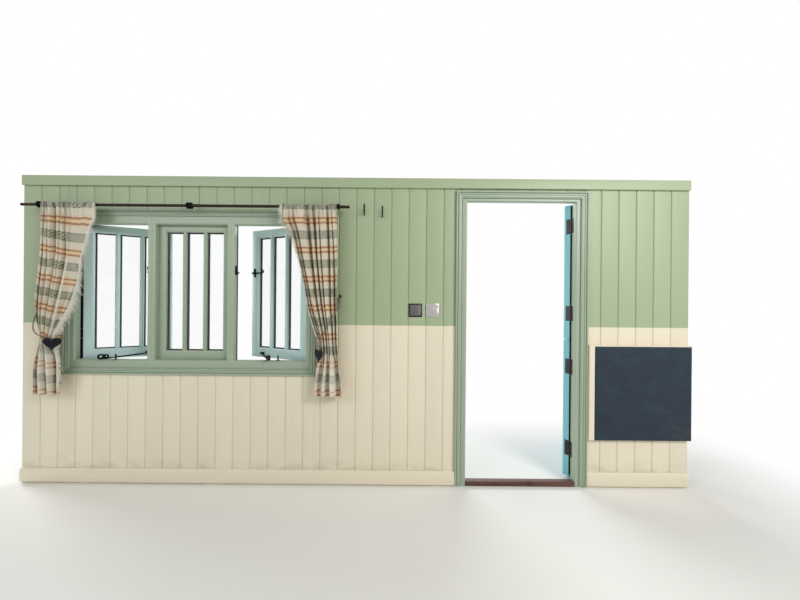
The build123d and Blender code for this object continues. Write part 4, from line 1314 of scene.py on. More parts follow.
@dataclass
class Casement:
    """One sash of the window: a moulded frame with two upright glazing bars, and putty outdoors."""

    name: str
    node: str
    shift: float
    pin: Pair = (0.0, 0.0)
    swing: float = 0.0
    paint: Optional[Paint] = None
    stile: float = 0.052
    top_rail: float = 0.051
    bottom_rail: float = 0.065
    moulding: float = 0.0085
    quirk: float = 0.0015
    putty: float = 0.0095
    bar_width: float = 0.021
    bar_offset: float = 0.067
    glass: float = 0.004
    gasket: float = 0.0066

    @cached_property
    def extent(self) -> Extent:
        """The sash where it lies shut."""
        e = Extent.of("middle_light")
        return Extent(e.x0 + self.shift, e.x1 + self.shift, e.y0, e.y1, e.z0, e.z1)

    def frame_profile(self) -> Array:
        """The stile's section: quirk and quarter round indoors, and a putty slope outdoors.

        Returns:
            Rows of (distance from the glass, y, arris).
        """
        e, m, q = self.extent, self.moulding, self.quirk
        middle = (e.y0 + e.y1) / 2
        ovolo = arc((m, e.y0 + q + m), -m, -m, pi / 2, 0, 6)
        points = [(self.stile, e.y0), (m + q, e.y0), (m + q * 0.7, e.y0 + q), *ovolo,
                  (0.0, middle + self.glass / 2), (self.putty, e.y1), (self.stile, e.y1)]
        return rounded(points, 0.0012, 3)

    def bar_outline(self, middle_x: float) -> Array:
        """A glazing bar's section: a flat nose between quarter rounds, and putty slopes outdoors.

        Args:
            middle_x: X of the bar's middle.

        Returns:
            Rows of (x, y, arris).
        """
        e, half = self.extent, self.bar_width / 2
        m = self.moulding * 0.85
        glass_front = (e.y0 + e.y1) / 2 - self.glass / 2
        nose = arc((half - m, e.y0 + self.quirk + m), m, -m, pi / 2, 0, 5)
        right = [(half - m - 0.0006, e.y0), *nose, (half, glass_front + self.glass), (0.0035, e.y1)]
        left = [(-x, y) for x, y in reversed(right)]
        return rounded(np.array(right + left) + (middle_x, 0), 0.0007)

    def build(self) -> None:
        """Makes the sash and its bars."""
        e = self.extent
        stile, bottom, top = self.stile, self.bottom_rail, self.top_rail
        opening = Opening(e.x0 + stile, e.x1 - stile, e.z0 + bottom, e.z1 - top, stile, stile, bottom, top)
        stock = bars(opening, self.frame_profile(), self.stile, *Side)
        middle = (e.x0 + e.x1) / 2
        for side in (-1, 1):
            outline = self.bar_outline(middle + side * self.bar_offset)
            ends = (opening.z0 - self.moulding, opening.z1 + self.moulding)
            stock.bar(np.stack([Axis.Z.place(outline, z) for z in ends]), outline[:, 2])
        stock.turn(self.pin, self.swing)
        stock.piece(self.name, self.paint, (self.node,))

    def gaskets(self, stock: Stock) -> None:
        """Adds a black bead round each pane, outdoors of the glass.

        Args:
            stock: What the parts are added to.
        """
        e, half = self.extent, self.bar_width / 2
        middle, y0 = (e.x0 + e.x1) / 2, (e.y0 + e.y1) / 2 + self.glass / 2
        bar_middles = [middle - self.bar_offset, middle + self.bar_offset]
        inner_edges = [x + s * half for x in bar_middles for s in (-1, 1)]
        edges = [e.x0 + self.stile, *inner_edges, e.x1 - self.stile]
        z0, z1 = e.z0 + self.bottom_rail, e.z1 - self.top_rail
        g, start = self.gasket, len(stock.points)
        for a, b in zip(edges[::2], edges[1::2]):
            for x0, x1 in ((a - 0.002, a + g), (b - g, b + 0.002)):
                stock.block(x0, x1, y0, y0 + 2 * g, z0, z1, 0.0008)
            for low, high in ((z0 - 0.002, z0 + g), (z1 - g, z1 + 0.002)):
                stock.block(a + g, b - g, y0, y0 + 2 * g, low, high, 0.0008)
        stock.turn(self.pin, self.swing, start)


@dataclass
class CasementIron:
    """The hinges, the fastener, the stay and the pegs of one open casement.

    Side is 1 where the sash lies to the right of its pin, and -1 to the left.
    """

    pin: Pair
    side: int
    swing: float
    light: float
    stay_pivot: float
    room_face: float = -0.037
    sash_face: float = 0.001
    rebate: float = 0.015
    reveal: float = 0.0125
    laps: float = 0.020
    half_stile: float = 0.026
    plate: float = 0.003
    shadow_seal: float = 0.003
    fastener_height: float = 1.372
    fastener_plate: Pair = (0.020, 0.062)
    lever_length: float = 0.090
    lever_nose: float = 0.020
    lever_off: float = 0.0066
    lever_curl: float = 0.0105
    stay_height: float = 0.805
    stay_length: float = 0.273
    stay_curls: tuple[Pair, ...] = ((0.0, 0.0150), (0.0285, 0.0118))
    eye_reach: float = 0.0074
    peg_places: Pair = (0.262, 0.191)
    sill: float = 0.791
    head: float = 1.660
    hinge_heights: Pair = (0.951, 1.500)
    hinge_length: float = 0.060
    gap: float = 0.0025

    def stile_middle(self) -> float:
        """X of the middle of the free stile, with the sash shut."""
        return self.pin[0] + self.side * (self.gap + self.light + self.laps - self.half_stile)

    def fastener(self, stock: Stock) -> None:
        """A plate, a boss and a level lever that curls up to a monkey tail, all swung with the sash.

        Args:
            stock: What the parts are added to.
        """
        start = len(stock.points)
        x, z, s = self.stile_middle(), self.fastener_height, self.side
        w, h = self.fastener_plate
        front = self.sash_face - self.plate
        stock.slab(oblong(w / 2, h / 2, 0.006, 4, (x, z)), Axis.Y, front, self.sash_face)
        for up in (-1, 1):
            stock.screw((x, front, z + up * h * 0.36), Axis.Y, -1)
        boss = [(0.0, 0.010), (-0.003, 0.0095), (-0.0085, 0.006), (-0.0105, 0.0055), (-0.0118, 0.003)]
        stock.turned(boss, (x, front, z), Axis.Y)
        y, end, r = front - self.lever_off, x - s * self.lever_length, self.lever_curl
        turn = np.linspace(0, 1.5 * pi, 16)
        radius = r * (1 - 0.42 * turn / turn[-1])
        curl = np.stack([end + s * 0.010 - s * radius * np.sin(turn), np.full(len(turn), y),
                         z + r - radius * np.cos(turn)], axis=1)
        handle = through([(x + s * self.lever_nose, y + 0.002, z - 0.003), (x, y, z),
                          (x - s * 0.030, y, z - 0.0025), (x - s * 0.060, y, z - 0.001)], 14)
        path = np.vstack([handle, curl])
        width = 0.0058 - 0.0022 * np.linspace(0, 1, len(path))
        stock.sweep(path, oblong(1.0, 0.62, 0.35, 3), (0, 1, 0), width)
        ball = [(-0.0032, 0.0008), (-0.002, 0.0027), (0, 0.0034), (0.002, 0.0027), (0.0032, 0.0008)]
        stock.turned(ball, curl[-1], Axis.Y, 14)
        stock.turn(self.pin, self.swing, start)

    def hook_plate(self, stock: Stock) -> None:
        """A plate on the mullion's reveal with a hooked lip that the lever's nose draws against.

        Args:
            stock: What the parts are added to.
        """
        z, s, half = self.fastener_height, self.side, self.fastener_plate[1] / 2
        reveal = self.pin[0] + s * (self.gap + self.light + self.reveal)
        inner = reveal - s * self.plate
        y0, y1 = self.room_face + 0.013, self.sash_face - 0.003
        stock.slab(rectangle(y0, y1, z - half, z + half, 0.005, 4), Axis.X, *sorted((reveal, inner)))
        for up in (-1, 1):
            stock.screw((inner, (y0 + y1) / 2, z + up * half * 0.68), Axis.X, -s)
        beak = [(0.0, -0.029), (0.007, -0.027), (0.0235, -0.0150), (0.0080, -0.012), (0.0035, 0.004),
                (0.0, 0.010)]
        beak = [(inner - s * out, z + up) for out, up in beak]
        stock.slab(rounded(beak, 0.0016), Axis.Y, y1 - 0.010, y1 - 0.002)
        lip = through([(inner, y0 + 0.005, z - 0.004), (inner - s * 0.005, y0 + 0.004, z - 0.003),
                       (inner - s * 0.0085, y0 + 0.0035, z + 0.003),
                       (inner - s * 0.0086, y0 + 0.0035, z + 0.020)], 12)
        stock.sweep(lip, oblong(0.0028, 0.0055, 0.0012, 3), (0, 1, 0), np.linspace(1.15, 0.45, len(lip)))

    def swung(self, along: float, off: float) -> Array:
        """A point of the swung sash at the stay's height, along it from the pin and in front of the pin.

        Args:
            along: Distance from the pin along the sash.
            off: Distance in front of the pin.

        Returns:
            The point.
        """
        a = radians(self.swing)
        dx, dy = self.side * along, -off
        return np.array([self.pin[0] + dx * cos(a) - dy * sin(a), self.pin[1] + dx * sin(a) + dy * cos(a),
                         self.stay_height])

    def peg_points(self) -> list[Array]:
        """The pegs' places on the sill."""
        return [np.array([self.pin[0] + self.side * place, self.room_face + 0.017, self.sill])
                for place in self.peg_places]

    def stay(self, stock: Stock) -> None:
        """A flat bar from its bracket on the bottom rail, over the first peg, to a standing scroll.

        The scroll's centre line is c + r (t sin a, -cos a) round a level axis across the bar, where r
        shrinks as it turns.

        Args:
            stock: What the parts are added to.
        """
        off = self.pin[1] - self.sash_face
        foot, start = self.swung(self.stay_pivot, off), self.swung(self.stay_pivot, off + 0.006)
        eye = np.array([*self.peg_points()[0][:2], self.stay_height])
        way = (eye - start) / np.linalg.norm(eye - start)
        end = start + way * self.stay_length
        x, y, z = (foot + start) / 2
        before = len(stock.points)
        bracket = rectangle(x - 0.018, x + 0.018, z - 0.006, z + 0.012, 0.004, 3)
        stock.slab(bracket, Axis.Y, y - 0.003, y + 0.003, 0.0006)
        stock.turn((x, y), self.swing, before)
        pivot = [(-0.005, 0.003), (-0.005, 0.0045), (0.004, 0.0045), (0.0058, 0.0028)]
        stock.turned(pivot, start, Axis.Z, 14)
        rise = np.array([0, 0, 1.0])
        level = np.cross(rise, way)
        for a, b in ((start, eye - way * self.eye_reach), (eye + way * self.eye_reach, end)):
            stock.sweep(straight(a, b, 4), oblong(0.004, 0.006, 0.0014, 3), level)
        stock.hoop(rectangle(-0.003, 0.003, 0.0056, 0.0096, 0.001)[:, :2], eye, Axis.Z, 20)
        turn = np.linspace(0, 2.1 * pi, 30)
        for back, size in self.stay_curls:
            radius = size * (1 - 0.30 * turn / turn[-1])
            centre = end - way * back + rise * size
            curl = centre + way * (radius * np.sin(turn))[:, None] - rise * (radius * np.cos(turn))[:, None]
            curl = np.vstack([curl[0] - way * 0.004, curl])
            stock.sweep(curl, oblong(0.0044, 0.0052, 0.0018, 3), level, np.linspace(1.1, 0.85, len(curl)))
        rivet = [(0, 0.0034), (0.0006, 0.0034), (0.001, 0.0026), (0.0008, 0.0006)]
        for at in (0.30, 0.48, 0.85):
            stock.turned(rivet, start + way * self.stay_length * at + rise * 0.003, Axis.Z, 12)

    def pegs(self, stock: Stock) -> None:
        """Two pegs on foot plates, screwed to the sill.

        Args:
            stock: What the parts are added to.
        """
        peg = [(0.002, 0.0060), (0.0040, 0.0047), (0.0285, 0.0046), (0.0315, 0.0040), (0.0330, 0.0020)]
        for x, y, z in self.peg_points():
            stock.slab(oblong(0.012, 0.006, 0.003, 3, (x, y)), Axis.Z, z, z + self.plate, 0.0006)
            stock.turned(peg, (x, y, z), Axis.Z, 14)
            for along in (-0.008, 0.008):
                stock.screw((x + along, y, z + self.plate), Axis.Z, 1, 0.0022)

    def shadow_seals(self, stock: Stock) -> None:
        """Rubber strips in the rebate round the light, clear of the hinges, black also as painted shadow in
        the gap beside the open sash.

        Args:
            stock: What the parts are added to.
        """
        s, thick = self.side, self.shadow_seal
        near = self.pin[0] - s * self.gap
        far = self.pin[0] + s * (self.light + 2 * self.rebate - self.gap)
        low, high = self.sill - self.rebate, self.head + self.rebate
        half = self.hinge_length / 2 + 0.004
        stops = [low, *(z + up * half for z in self.hinge_heights for up in (-1, 1)), high]
        strips = [(near, near + s * thick, a, b) for a, b in zip(stops[::2], stops[1::2])]
        strips.append((far, far - s * thick, low, high))
        strips += [(near + s * thick, far - s * thick, a, a + thick) for a in (low, high - thick)]
        for a, b, z0, z1 in strips:
            stock.block(*sorted((a, b)), self.sash_face + 0.002, self.sash_face + 0.040, z0, z1, 0.0006)

    def hinges(self, stock: Stock) -> None:
        """Two butt hinges, each of two plates and a knuckle of five barrels.

        Args:
            stock: What the parts are added to.
        """
        for middle in self.hinge_heights:
            low, high = middle - self.hinge_length / 2, middle + self.hinge_length / 2
            barrel_hinge(stock, self.pin, low, high, 0.004, 5)
            for swing, edge in ((0.0, -self.side), (self.swing, self.side)):
                before = len(stock.points)
                face = self.pin[0] + edge * self.gap
                outline = rectangle(self.sash_face + 0.0147, self.pin[1] - 0.002, low, high, 0.002)
                stock.slab(outline, Axis.X, *sorted((face, face - edge * 0.002)), 0.0003)
                stock.turn(self.pin, swing, before)


def barrel_hinge(stock: Stock, pin: Pair, low: float, high: float, radius: float, barrels: int) -> None:
    """Adds a knuckle: a turned bar with a fine groove between its barrels and a low dome at each end.

    Args:
        stock: What the parts are added to.
        pin: X and Y of the pin.
        low: Height of its lower end.
        high: Height of its upper end.
        radius: Its radius.
        barrels: How many barrels it has.
    """
    ends = np.linspace(low, high, barrels + 1)
    dome, groove = radius * 0.4, radius * 0.86
    profile = [(low, dome)]
    for a, b in zip(ends[:-1], ends[1:]):
        profile += [(a + 0.0002, groove), (a + 0.0007, radius), (b - 0.0007, radius), (b - 0.0002, groove)]
    profile.append((high, dome))
    stock.turned(profile, (pin[0], pin[1], 0.0), Axis.Z, 20)


@dataclass
class Window:
    """The three-light window: its frame, sashes, glass and ironmongery."""

    lap: float = 0.010
    rebate: float = 0.015
    chamfer: float = 0.008
    left_swing: float = 27
    right_swing: float = -24
    stay_pivots: Pair = (0.350, 0.377)
    pin_radius: float = 0.004

    def build(self) -> None:
        """Makes everything in the window's opening."""
        head, sill = Extent.of("window_head"), Extent.of("window_sill")
        sash = Extent.of("middle_light")
        mullions = Extent.of("window_mullions")
        light = sash.x1 - sash.x0 - 2 * self.lap
        mullion = (mullions.x1 - mullions.x0 - light) / 2
        lefts = [sash.x0 + self.lap + i * (light + mullion) for i in (-1, 0, 1)]
        self.frame(head, sill, sash, lefts, light, mullion)
        pin_y = head.y1 + self.pin_radius
        from_light = self.rebate - 0.0025
        left_pin = (lefts[0] - from_light, pin_y)
        right_pin = (lefts[2] + light + from_light, pin_y)
        gaskets = Stock()
        # The open casements take the joinery paint made paler with painted light; the middle light takes it
        # plain.
        sashes = (("left_casement", left_pin, self.left_swing, JOINERY_PAINT_PAINTED_LIGHTER),
                  ("middle_light", (0.0, 0.0), 0.0, JOINERY_PAINT),
                  ("right_casement", right_pin, self.right_swing, JOINERY_PAINT_PAINTED_LIGHTER))
        for left, (name, pin, swing, paint) in zip(lefts, sashes):
            casement = Casement(f"{name}_sash", name, left - lefts[1], pin, swing, paint)
            casement.build()
            casement.gaskets(gaskets)
        Workshop.dress("window_glass", WINDOW_GLASS)
        irons = [CasementIron(left_pin, 1, self.left_swing, light, self.stay_pivots[0]),
                 CasementIron(right_pin, -1, self.right_swing, light, self.stay_pivots[1])]
        fasteners, stays, hinges = Stock(), Stock(), Stock()
        for iron in irons:
            iron.fastener(fasteners)
            iron.hook_plate(fasteners)
            iron.stay(stays)
            iron.pegs(stays)
            iron.hinges(hinges)
            iron.shadow_seals(gaskets)
        # The pane gaskets are black rubber; the rebate seals are rubber and also painted shadow.
        gaskets.piece("window_gaskets_and_seals", BLACK_RUBBER_AND_SHADOW)
        fasteners.piece("casement_fasteners_forged", BLACK_IRON, ("casement_fasteners",))
        stays.piece("casement_stays_forged", BLACK_IRON, ("casement_stays",))
        hinges.piece("casement_hinges_jointed", HINGE_STEEL, ("casement_hinges",))

    def frame(self, head: Extent, sill: Extent, sash: Extent, lefts: list[float], light: float,
              mullion: float) -> None:
        """The frame round the three lights, chamfered indoors and rebated outdoors.

        Each light's opening is framed by four mitred bars that reach to the frame's outer edge or to
        the middle of a mullion.

        Args:
            head: The head's box.
            sill: The sill's box.
            sash: The middle light's box.
            lefts: X of each light's left edge.
            light: Width of a light.
            mullion: Width of a mullion.
        """
        jamb = lefts[0] - head.x0
        c = self.chamfer
        radii = np.array([0.00001, 0.0012, 0.0012, 0.0012, 0.0012, 0.0012, 0.00001])
        profile = rounded([
            (jamb, head.y0), (c, head.y0), (0.0, head.y0 + c), (0.0, sash.y0), (self.rebate, sash.y0),
            (self.rebate, head.y1), (jamb, head.y1)], radii, 3)
        stocks = {name: Stock() for name in ("head", "sill", "jambs", "mullions")}
        for i, left in enumerate(lefts):
            widths = (jamb if i == 0 else mullion / 2, jamb if i == 2 else mullion / 2)
            opening = Opening(left, left + light, sill.z1, head.z0, *widths, sill.z1 - sill.z0,
                              head.z1 - head.z0)
            for name, side in (("head", Side.TOP), ("sill", Side.BOTTOM),
                               ("jambs" if i == 0 else "mullions", Side.LEFT),
                               ("jambs" if i == 2 else "mullions", Side.RIGHT)):
                bars(opening, profile, jamb, side, stock=stocks[name])
        for name, stock in stocks.items():
            stock.piece(f"window_{name}_chamfered", JOINERY_PAINT, (f"window_{name}",))


# The door


@dataclass
class Leaf:
    """One leaf of the stable door, built shut and swung open: boards on a framed and braced back."""

    name: str
    z0: float
    z1: float
    x0: float
    x1: float
    pin: Pair
    swing: float = -150
    outside: float = 0.045
    thick: float = 0.044
    board_thick: float = 0.020
    boards: int = 6
    member: float = 0.095
    brace: float = 0.080
    chamfer: float = 0.005

    def build(self) -> None:
        """Makes the leaf's boards and its frame."""
        stock = Stock()
        pitch = (self.x1 - self.x0) / self.boards
        boarding = Boarding("", DOOR_PAINT, 1, pitch=pitch, tongue=0.005, chamfer=0.0055)
        for i in range(self.boards):
            x0, x1 = self.x0 + i * pitch, self.x0 + (i + 1) * pitch
            joints = (i > 0, i < self.boards - 1)
            outline = boarding.outline(x0, x1, self.outside, self.board_thick, joints, (0.0, 0.0002))
            stock.slab(outline, Axis.Z, self.z0, self.z1, 0.0006)
        stock.turn(self.pin, self.swing)
        stock.piece(f"{self.name}_door_boarding", DOOR_PAINT, (f"{self.name}_door_boards",),
                    f"{self.name}_door")
        self.back()

    def back(self) -> None:
        """The stiles, rails and brace on the room side, their inner arrises chamfered."""
        y0, y1 = self.outside - self.thick, self.outside - self.board_thick
        m = self.member
        opening = Opening(self.x0 + m, self.x1 - m, self.z0 + m, self.z1 - m, m, m, m, m)
        c = self.chamfer
        profile = rounded([(m, y0), (c, y0), (0.0, y0 + c), (0.0, y1), (m, y1)], 0.0014, 3)
        stock = bars(opening, profile, m, *Side)
        o, b = opening, self.brace
        brace = [(o.x1, o.z0), (o.x1, o.z0 + b), (o.x0 + b, o.z1), (o.x0, o.z1), (o.x0, o.z1 - b),
                 (o.x1 - b, o.z0)]
        stock.slab(rounded(brace, 0.0012), Axis.Y, y0, y1, 0.002)
        stock.turn(self.pin, self.swing)
        stock.piece(f"{self.name}_door_framing", DOOR_PAINT, (f"{self.name}_door_frame",),
                    f"{self.name}_door")


@dataclass
class StableDoor:
    """The door frame, threshold, two leaves and their furniture."""

    jamb: float = 0.060
    rebate: float = 0.015
    stop: float = -0.004
    lap: float = 0.010
    hinge_middles: dict[str, Pair] = field(
        default_factory=lambda: {"lower": (0.208, 0.754), "upper": (1.108, 1.690)})
    hinge_length: float = 0.100
    knuckle: float = 0.0055
    gap: float = 0.0025
    plate: float = 0.002
    plate_width: float = 0.030
    swing: float = -150
    shadow_seal_foot: float = 0.036
    latch_inset: float = 0.018
    latch_case: Point = (0.100, 0.022, 0.075)
    latch_height: float = 0.810
    knob: float = 0.024
    bolt_inset: float = 0.060
    bolt_bottom: float = 0.940
    bolt_length: float = 0.150
    bolt_width: float = 0.030

    def build(self) -> None:
        """Makes the frame, the leaves, the hinges and the furniture."""
        jambs, head = Extent.of("door_jambs"), Extent.of("door_head")
        pin = tuple(FRAME["joints"][0]["pos_m"][:2])
        left, right = jambs.x0 + self.jamb, jambs.x1 - self.jamb
        self.frame(jambs, head, left, right)
        self.threshold()
        leaves = []
        for name in ("lower", "upper"):
            e = Extent.of(f"{name}_door_boards")
            leaf = Leaf(name, e.z0, e.z1, left - self.lap, right + self.lap, pin, self.swing, jambs.y1)
            leaf.build()
            leaves.append(leaf)
        self.hinges(pin, jambs.y1)
        self.shadow_seal(pin, jambs.y1, head.z0)
        self.latch(leaves[0])
        self.bolt(leaves[1])

    def frame(self, jambs: Extent, head: Extent, left: float, right: float) -> None:
        """The jambs and head, rebated outdoors of the stop and rounded indoors.

        Args:
            jambs: The jambs' box.
            head: The head's box.
            left: X of the left jamb's inner face.
            right: X of the right jamb's inner face.
        """
        nominal = self.jamb
        profile = rounded([
            (nominal, jambs.y0), (0.004, jambs.y0), (0.0, jambs.y0 + 0.004), (0.0, self.stop),
            (self.rebate, self.stop), (self.rebate, jambs.y1), (nominal, jambs.y1)], 0.0012, 3)
        opening = Opening(left, right, jambs.z0, head.z0, nominal, nominal, 0.0, head.z1 - head.z0)
        uprights = bars(opening, profile, nominal, Side.LEFT, Side.RIGHT).stand(head.z0 - nominal, jambs.z0)
        uprights.piece("door_jambs_rebated", JOINERY_PAINT, ("door_jambs",))
        bars(opening, profile, nominal, Side.TOP).piece("door_head_rebated", JOINERY_PAINT, ("door_head",))

    def threshold(self) -> None:
        """The hardwood threshold: a rounded tread, a step down and a weathered slope outdoors."""
        e = Extent.of("door_threshold")
        step, stop = e.z0 + 0.012, self.stop
        stock = Stock()
        tread = [(e.y0, e.z0), (stop, e.z0), (stop, e.z1 - 0.0008), (stop - 0.016, e.z1), (e.y0, e.z1)]
        stock.slab(rounded(tread, 0.004, 4), Axis.X, e.x0 + self.rebate, e.x1 - self.rebate, level=1.0)
        lip = [(stop, e.z0), (e.y1, e.z0), (e.y1, step - 0.004), (e.y1 - 0.012, step), (stop, step)]
        stock.slab(rounded(lip, 0.002, 3), Axis.X, e.x0, e.x1, level=1.0)
        stock.piece("door_threshold_worn", HARDWOOD, ("door_threshold",))

    def hinge_half(self, stock: Stock, pin: Pair, outside: float, middle: float, fixed: bool) -> None:
        """Half of a lift-off butt hinge: plate, screws and its half of the knuckle.

        Args:
            stock: What the parts are added to.
            pin: X and Y of the pin.
            outside: Y of the leaves' outer face.
            middle: Height of the hinge's middle.
            fixed: Whether it is the half on the jamb.
        """
        edge = 1 if fixed else -1
        face = pin[0] + edge * self.gap
        x = sorted((face, face - edge * self.plate))
        low, high = middle - self.hinge_length / 2, middle + self.hinge_length / 2
        inner = outside - self.plate_width
        stock.slab(rectangle(inner, outside - 0.0004, low, high, 0.003, 3), Axis.X, *x, 0.0004)
        shown = x[0] if fixed else x[1]
        for y, z in ((inner + 0.008, low + 0.015), (inner + 0.020, middle), (inner + 0.008, high - 0.015)):
            stock.screw((shown + edge * 0.0004, y, z), Axis.X, -edge, 0.0036)
        ends = (low, middle - 0.0003) if fixed else (middle + 0.0003, high)
        stock.slab(rectangle(outside - 0.002, pin[1], *ends, 0.0004), Axis.X, *x, 0.0003)
        barrel_hinge(stock, pin, *ends, self.knuckle, 2)

    def hinges(self, pin: Pair, outside: float) -> None:
        """The four hinges: one half of each on the jamb, the other on its leaf.

        Args:
            pin: X and Y of the pin.
            outside: Y of the leaves' outer face.
        """
        fixed = Stock()
        for middles in self.hinge_middles.values():
            for middle in middles:
                self.hinge_half(fixed, pin, outside, middle, True)
        fixed.piece("door_hinge_fixed_halves", HINGE_STEEL, ("door_hinge_frame_plates",))
        for name, middles in self.hinge_middles.items():
            moving = Stock()
            for middle in middles:
                self.hinge_half(moving, pin, outside, middle, False)
            moving.turn(pin, self.swing)
            moving.piece(f"{name}_door_hinge_halves", HINGE_STEEL,
                         (f"{name}_door_hinge_plates",), f"{name}_door")

    def shadow_seal(self, pin: Pair, outside: float, top: float) -> None:
        """A black bulb along the hinges' line, with a flat foot on the jamb, between the knuckles: a painted
        shadow for the dark wedge between the open leaves and the jamb.

        Args:
            pin: X and Y of the pin.
            outside: Y of the leaves' outer face.
            top: Height of its upper end.
        """
        half = self.hinge_length / 2 + 0.003
        middles = [z for pair in self.hinge_middles.values() for z in pair]
        stops = [self.shadow_seal_foot, *(z + s * half for z in middles for s in (-1, 1)), top]
        stock = Stock()
        for a, b in zip(stops[::2], stops[1::2]):
            stock.turned([(a, 0.0030), (a + 0.001, 0.0048), (b - 0.001, 0.0048), (b, 0.0030)],
                         (*pin, 0.0), Axis.Z, 16)
            stock.block(pin[0] + self.gap, pin[0] + 0.010, outside, outside + 0.002, a, b, 0.0006)
        # Black as painted shadow, where the open leaves shade the jamb's outer edge.
        stock.piece("door_seal_bulb", BLACK_RUBBER_AND_SHADOW)

    def latch(self, leaf: Leaf) -> None:
        """A rim latch: a cased lock with its bolt, a turned knob each side and a rose outdoors.

        Args:
            leaf: The leaf that it is on.
        """
        width, deep, high = self.latch_case
        room = leaf.outside - leaf.thick
        x, z = leaf.x0 + self.latch_inset, self.latch_height
        stock = Stock()
        front, low, top = room - deep, z - high / 2, z + high / 2
        case = rectangle(x, x + width, low, top, 0.005, 4)
        stock.slab(case, Axis.Y, front, room, 0.002)
        cover = rectangle(x + 0.006, x + width - 0.006, low + 0.006, top - 0.006, 0.003, 3)
        stock.slab(cover, Axis.Y, front - 0.0012, front + 0.001)
        stock.block(x - 0.006, x + 0.002, front + 0.005, room - 0.006, z - 0.009, z + 0.009, 0.0015)
        for a in (0.010, width - 0.010):
            for b in (-1, 1):
                stock.screw((x + a, front - 0.0012, z + b * (high / 2 - 0.011)), Axis.Y, -1)
        r, knob_x = self.knob, x + width * 0.6
        t = np.linspace(0.22, pi - 0.12, 14)
        ball = np.stack([-(0.019 + r * 0.72 * (1 - np.cos(t))), r * np.sin(t)], axis=1)
        neck = [(0.0, r * 0.75), (-0.003, r * 0.75), (-0.005, r * 0.5), (-0.012, r * 0.36), (-0.019, r * 0.4)]
        knob = np.vstack([neck, ball])
        stock.turned(knob, (knob_x, front - 0.001, z), Axis.Y, 28)
        rose = [(0.0, r), (0.0025, r), (0.004, r * 0.8)]
        stock.turned(rose, (knob_x, leaf.outside, z), Axis.Y, 28)
        stock.turned(knob * (-1, 1), (knob_x, leaf.outside + 0.001, z), Axis.Y, 28)
        stock.turn(leaf.pin, leaf.swing)
        stock.piece("lower_door_rim_latch", BLACK_IRON, ("lower_door_latch",), "lower_door")

    def bolt(self, leaf: Leaf) -> None:
        """A barrel bolt: a plate, three straps over a round bar and a turned knob.

        Args:
            leaf: The leaf that it is on.
        """
        room = leaf.outside - leaf.thick
        x, low, high = leaf.x0 + self.bolt_inset, self.bolt_bottom, self.bolt_bottom + self.bolt_length
        half = self.bolt_width / 2
        stock = Stock()
        stock.slab(rectangle(x - half, x + half, low, high, 0.004, 3), Axis.Y, room - 0.002, room, 0.0005)
        y = room - 0.0065
        stock.turned([(low, 0.0028), (low + 0.001, 0.0042), (high - 0.001, 0.0042), (high, 0.0028)],
                     (x, y, 0.0), Axis.Z, 18)
        arch = [(-0.011, room - 0.0025), (-0.0062, y), (0.0, y - 0.0052), (0.0062, y), (0.011, room - 0.0025)]
        for z in (low + 0.020, low + 0.072, high - 0.020):
            strap = through([(x + across_x, strap_y, z) for across_x, strap_y in arch], 15)
            stock.sweep(strap, oblong(0.0008, 0.006, 0.0005), (0, 0, 1))
        for z in (low + 0.046, high - 0.040):
            for side in (-1, 1):
                stock.screw((x + side * 0.010, room - 0.002, z), Axis.Y, -1, 0.0026)
        knob = [(0.0, 0.003), (-0.008, 0.003), (-0.010, 0.0045), (-0.014, 0.0052), (-0.017, 0.004),
                (-0.0182, 0.001)]
        stock.turned(knob, (x, y - 0.002, low + self.bolt_length * 0.6), Axis.Y, 18)
        stock.turn(leaf.pin, leaf.swing)
        stock.piece("upper_door_barrel_bolt", BLACK_IRON, ("upper_door_bolt",), "upper_door")


# Curtains and their pole


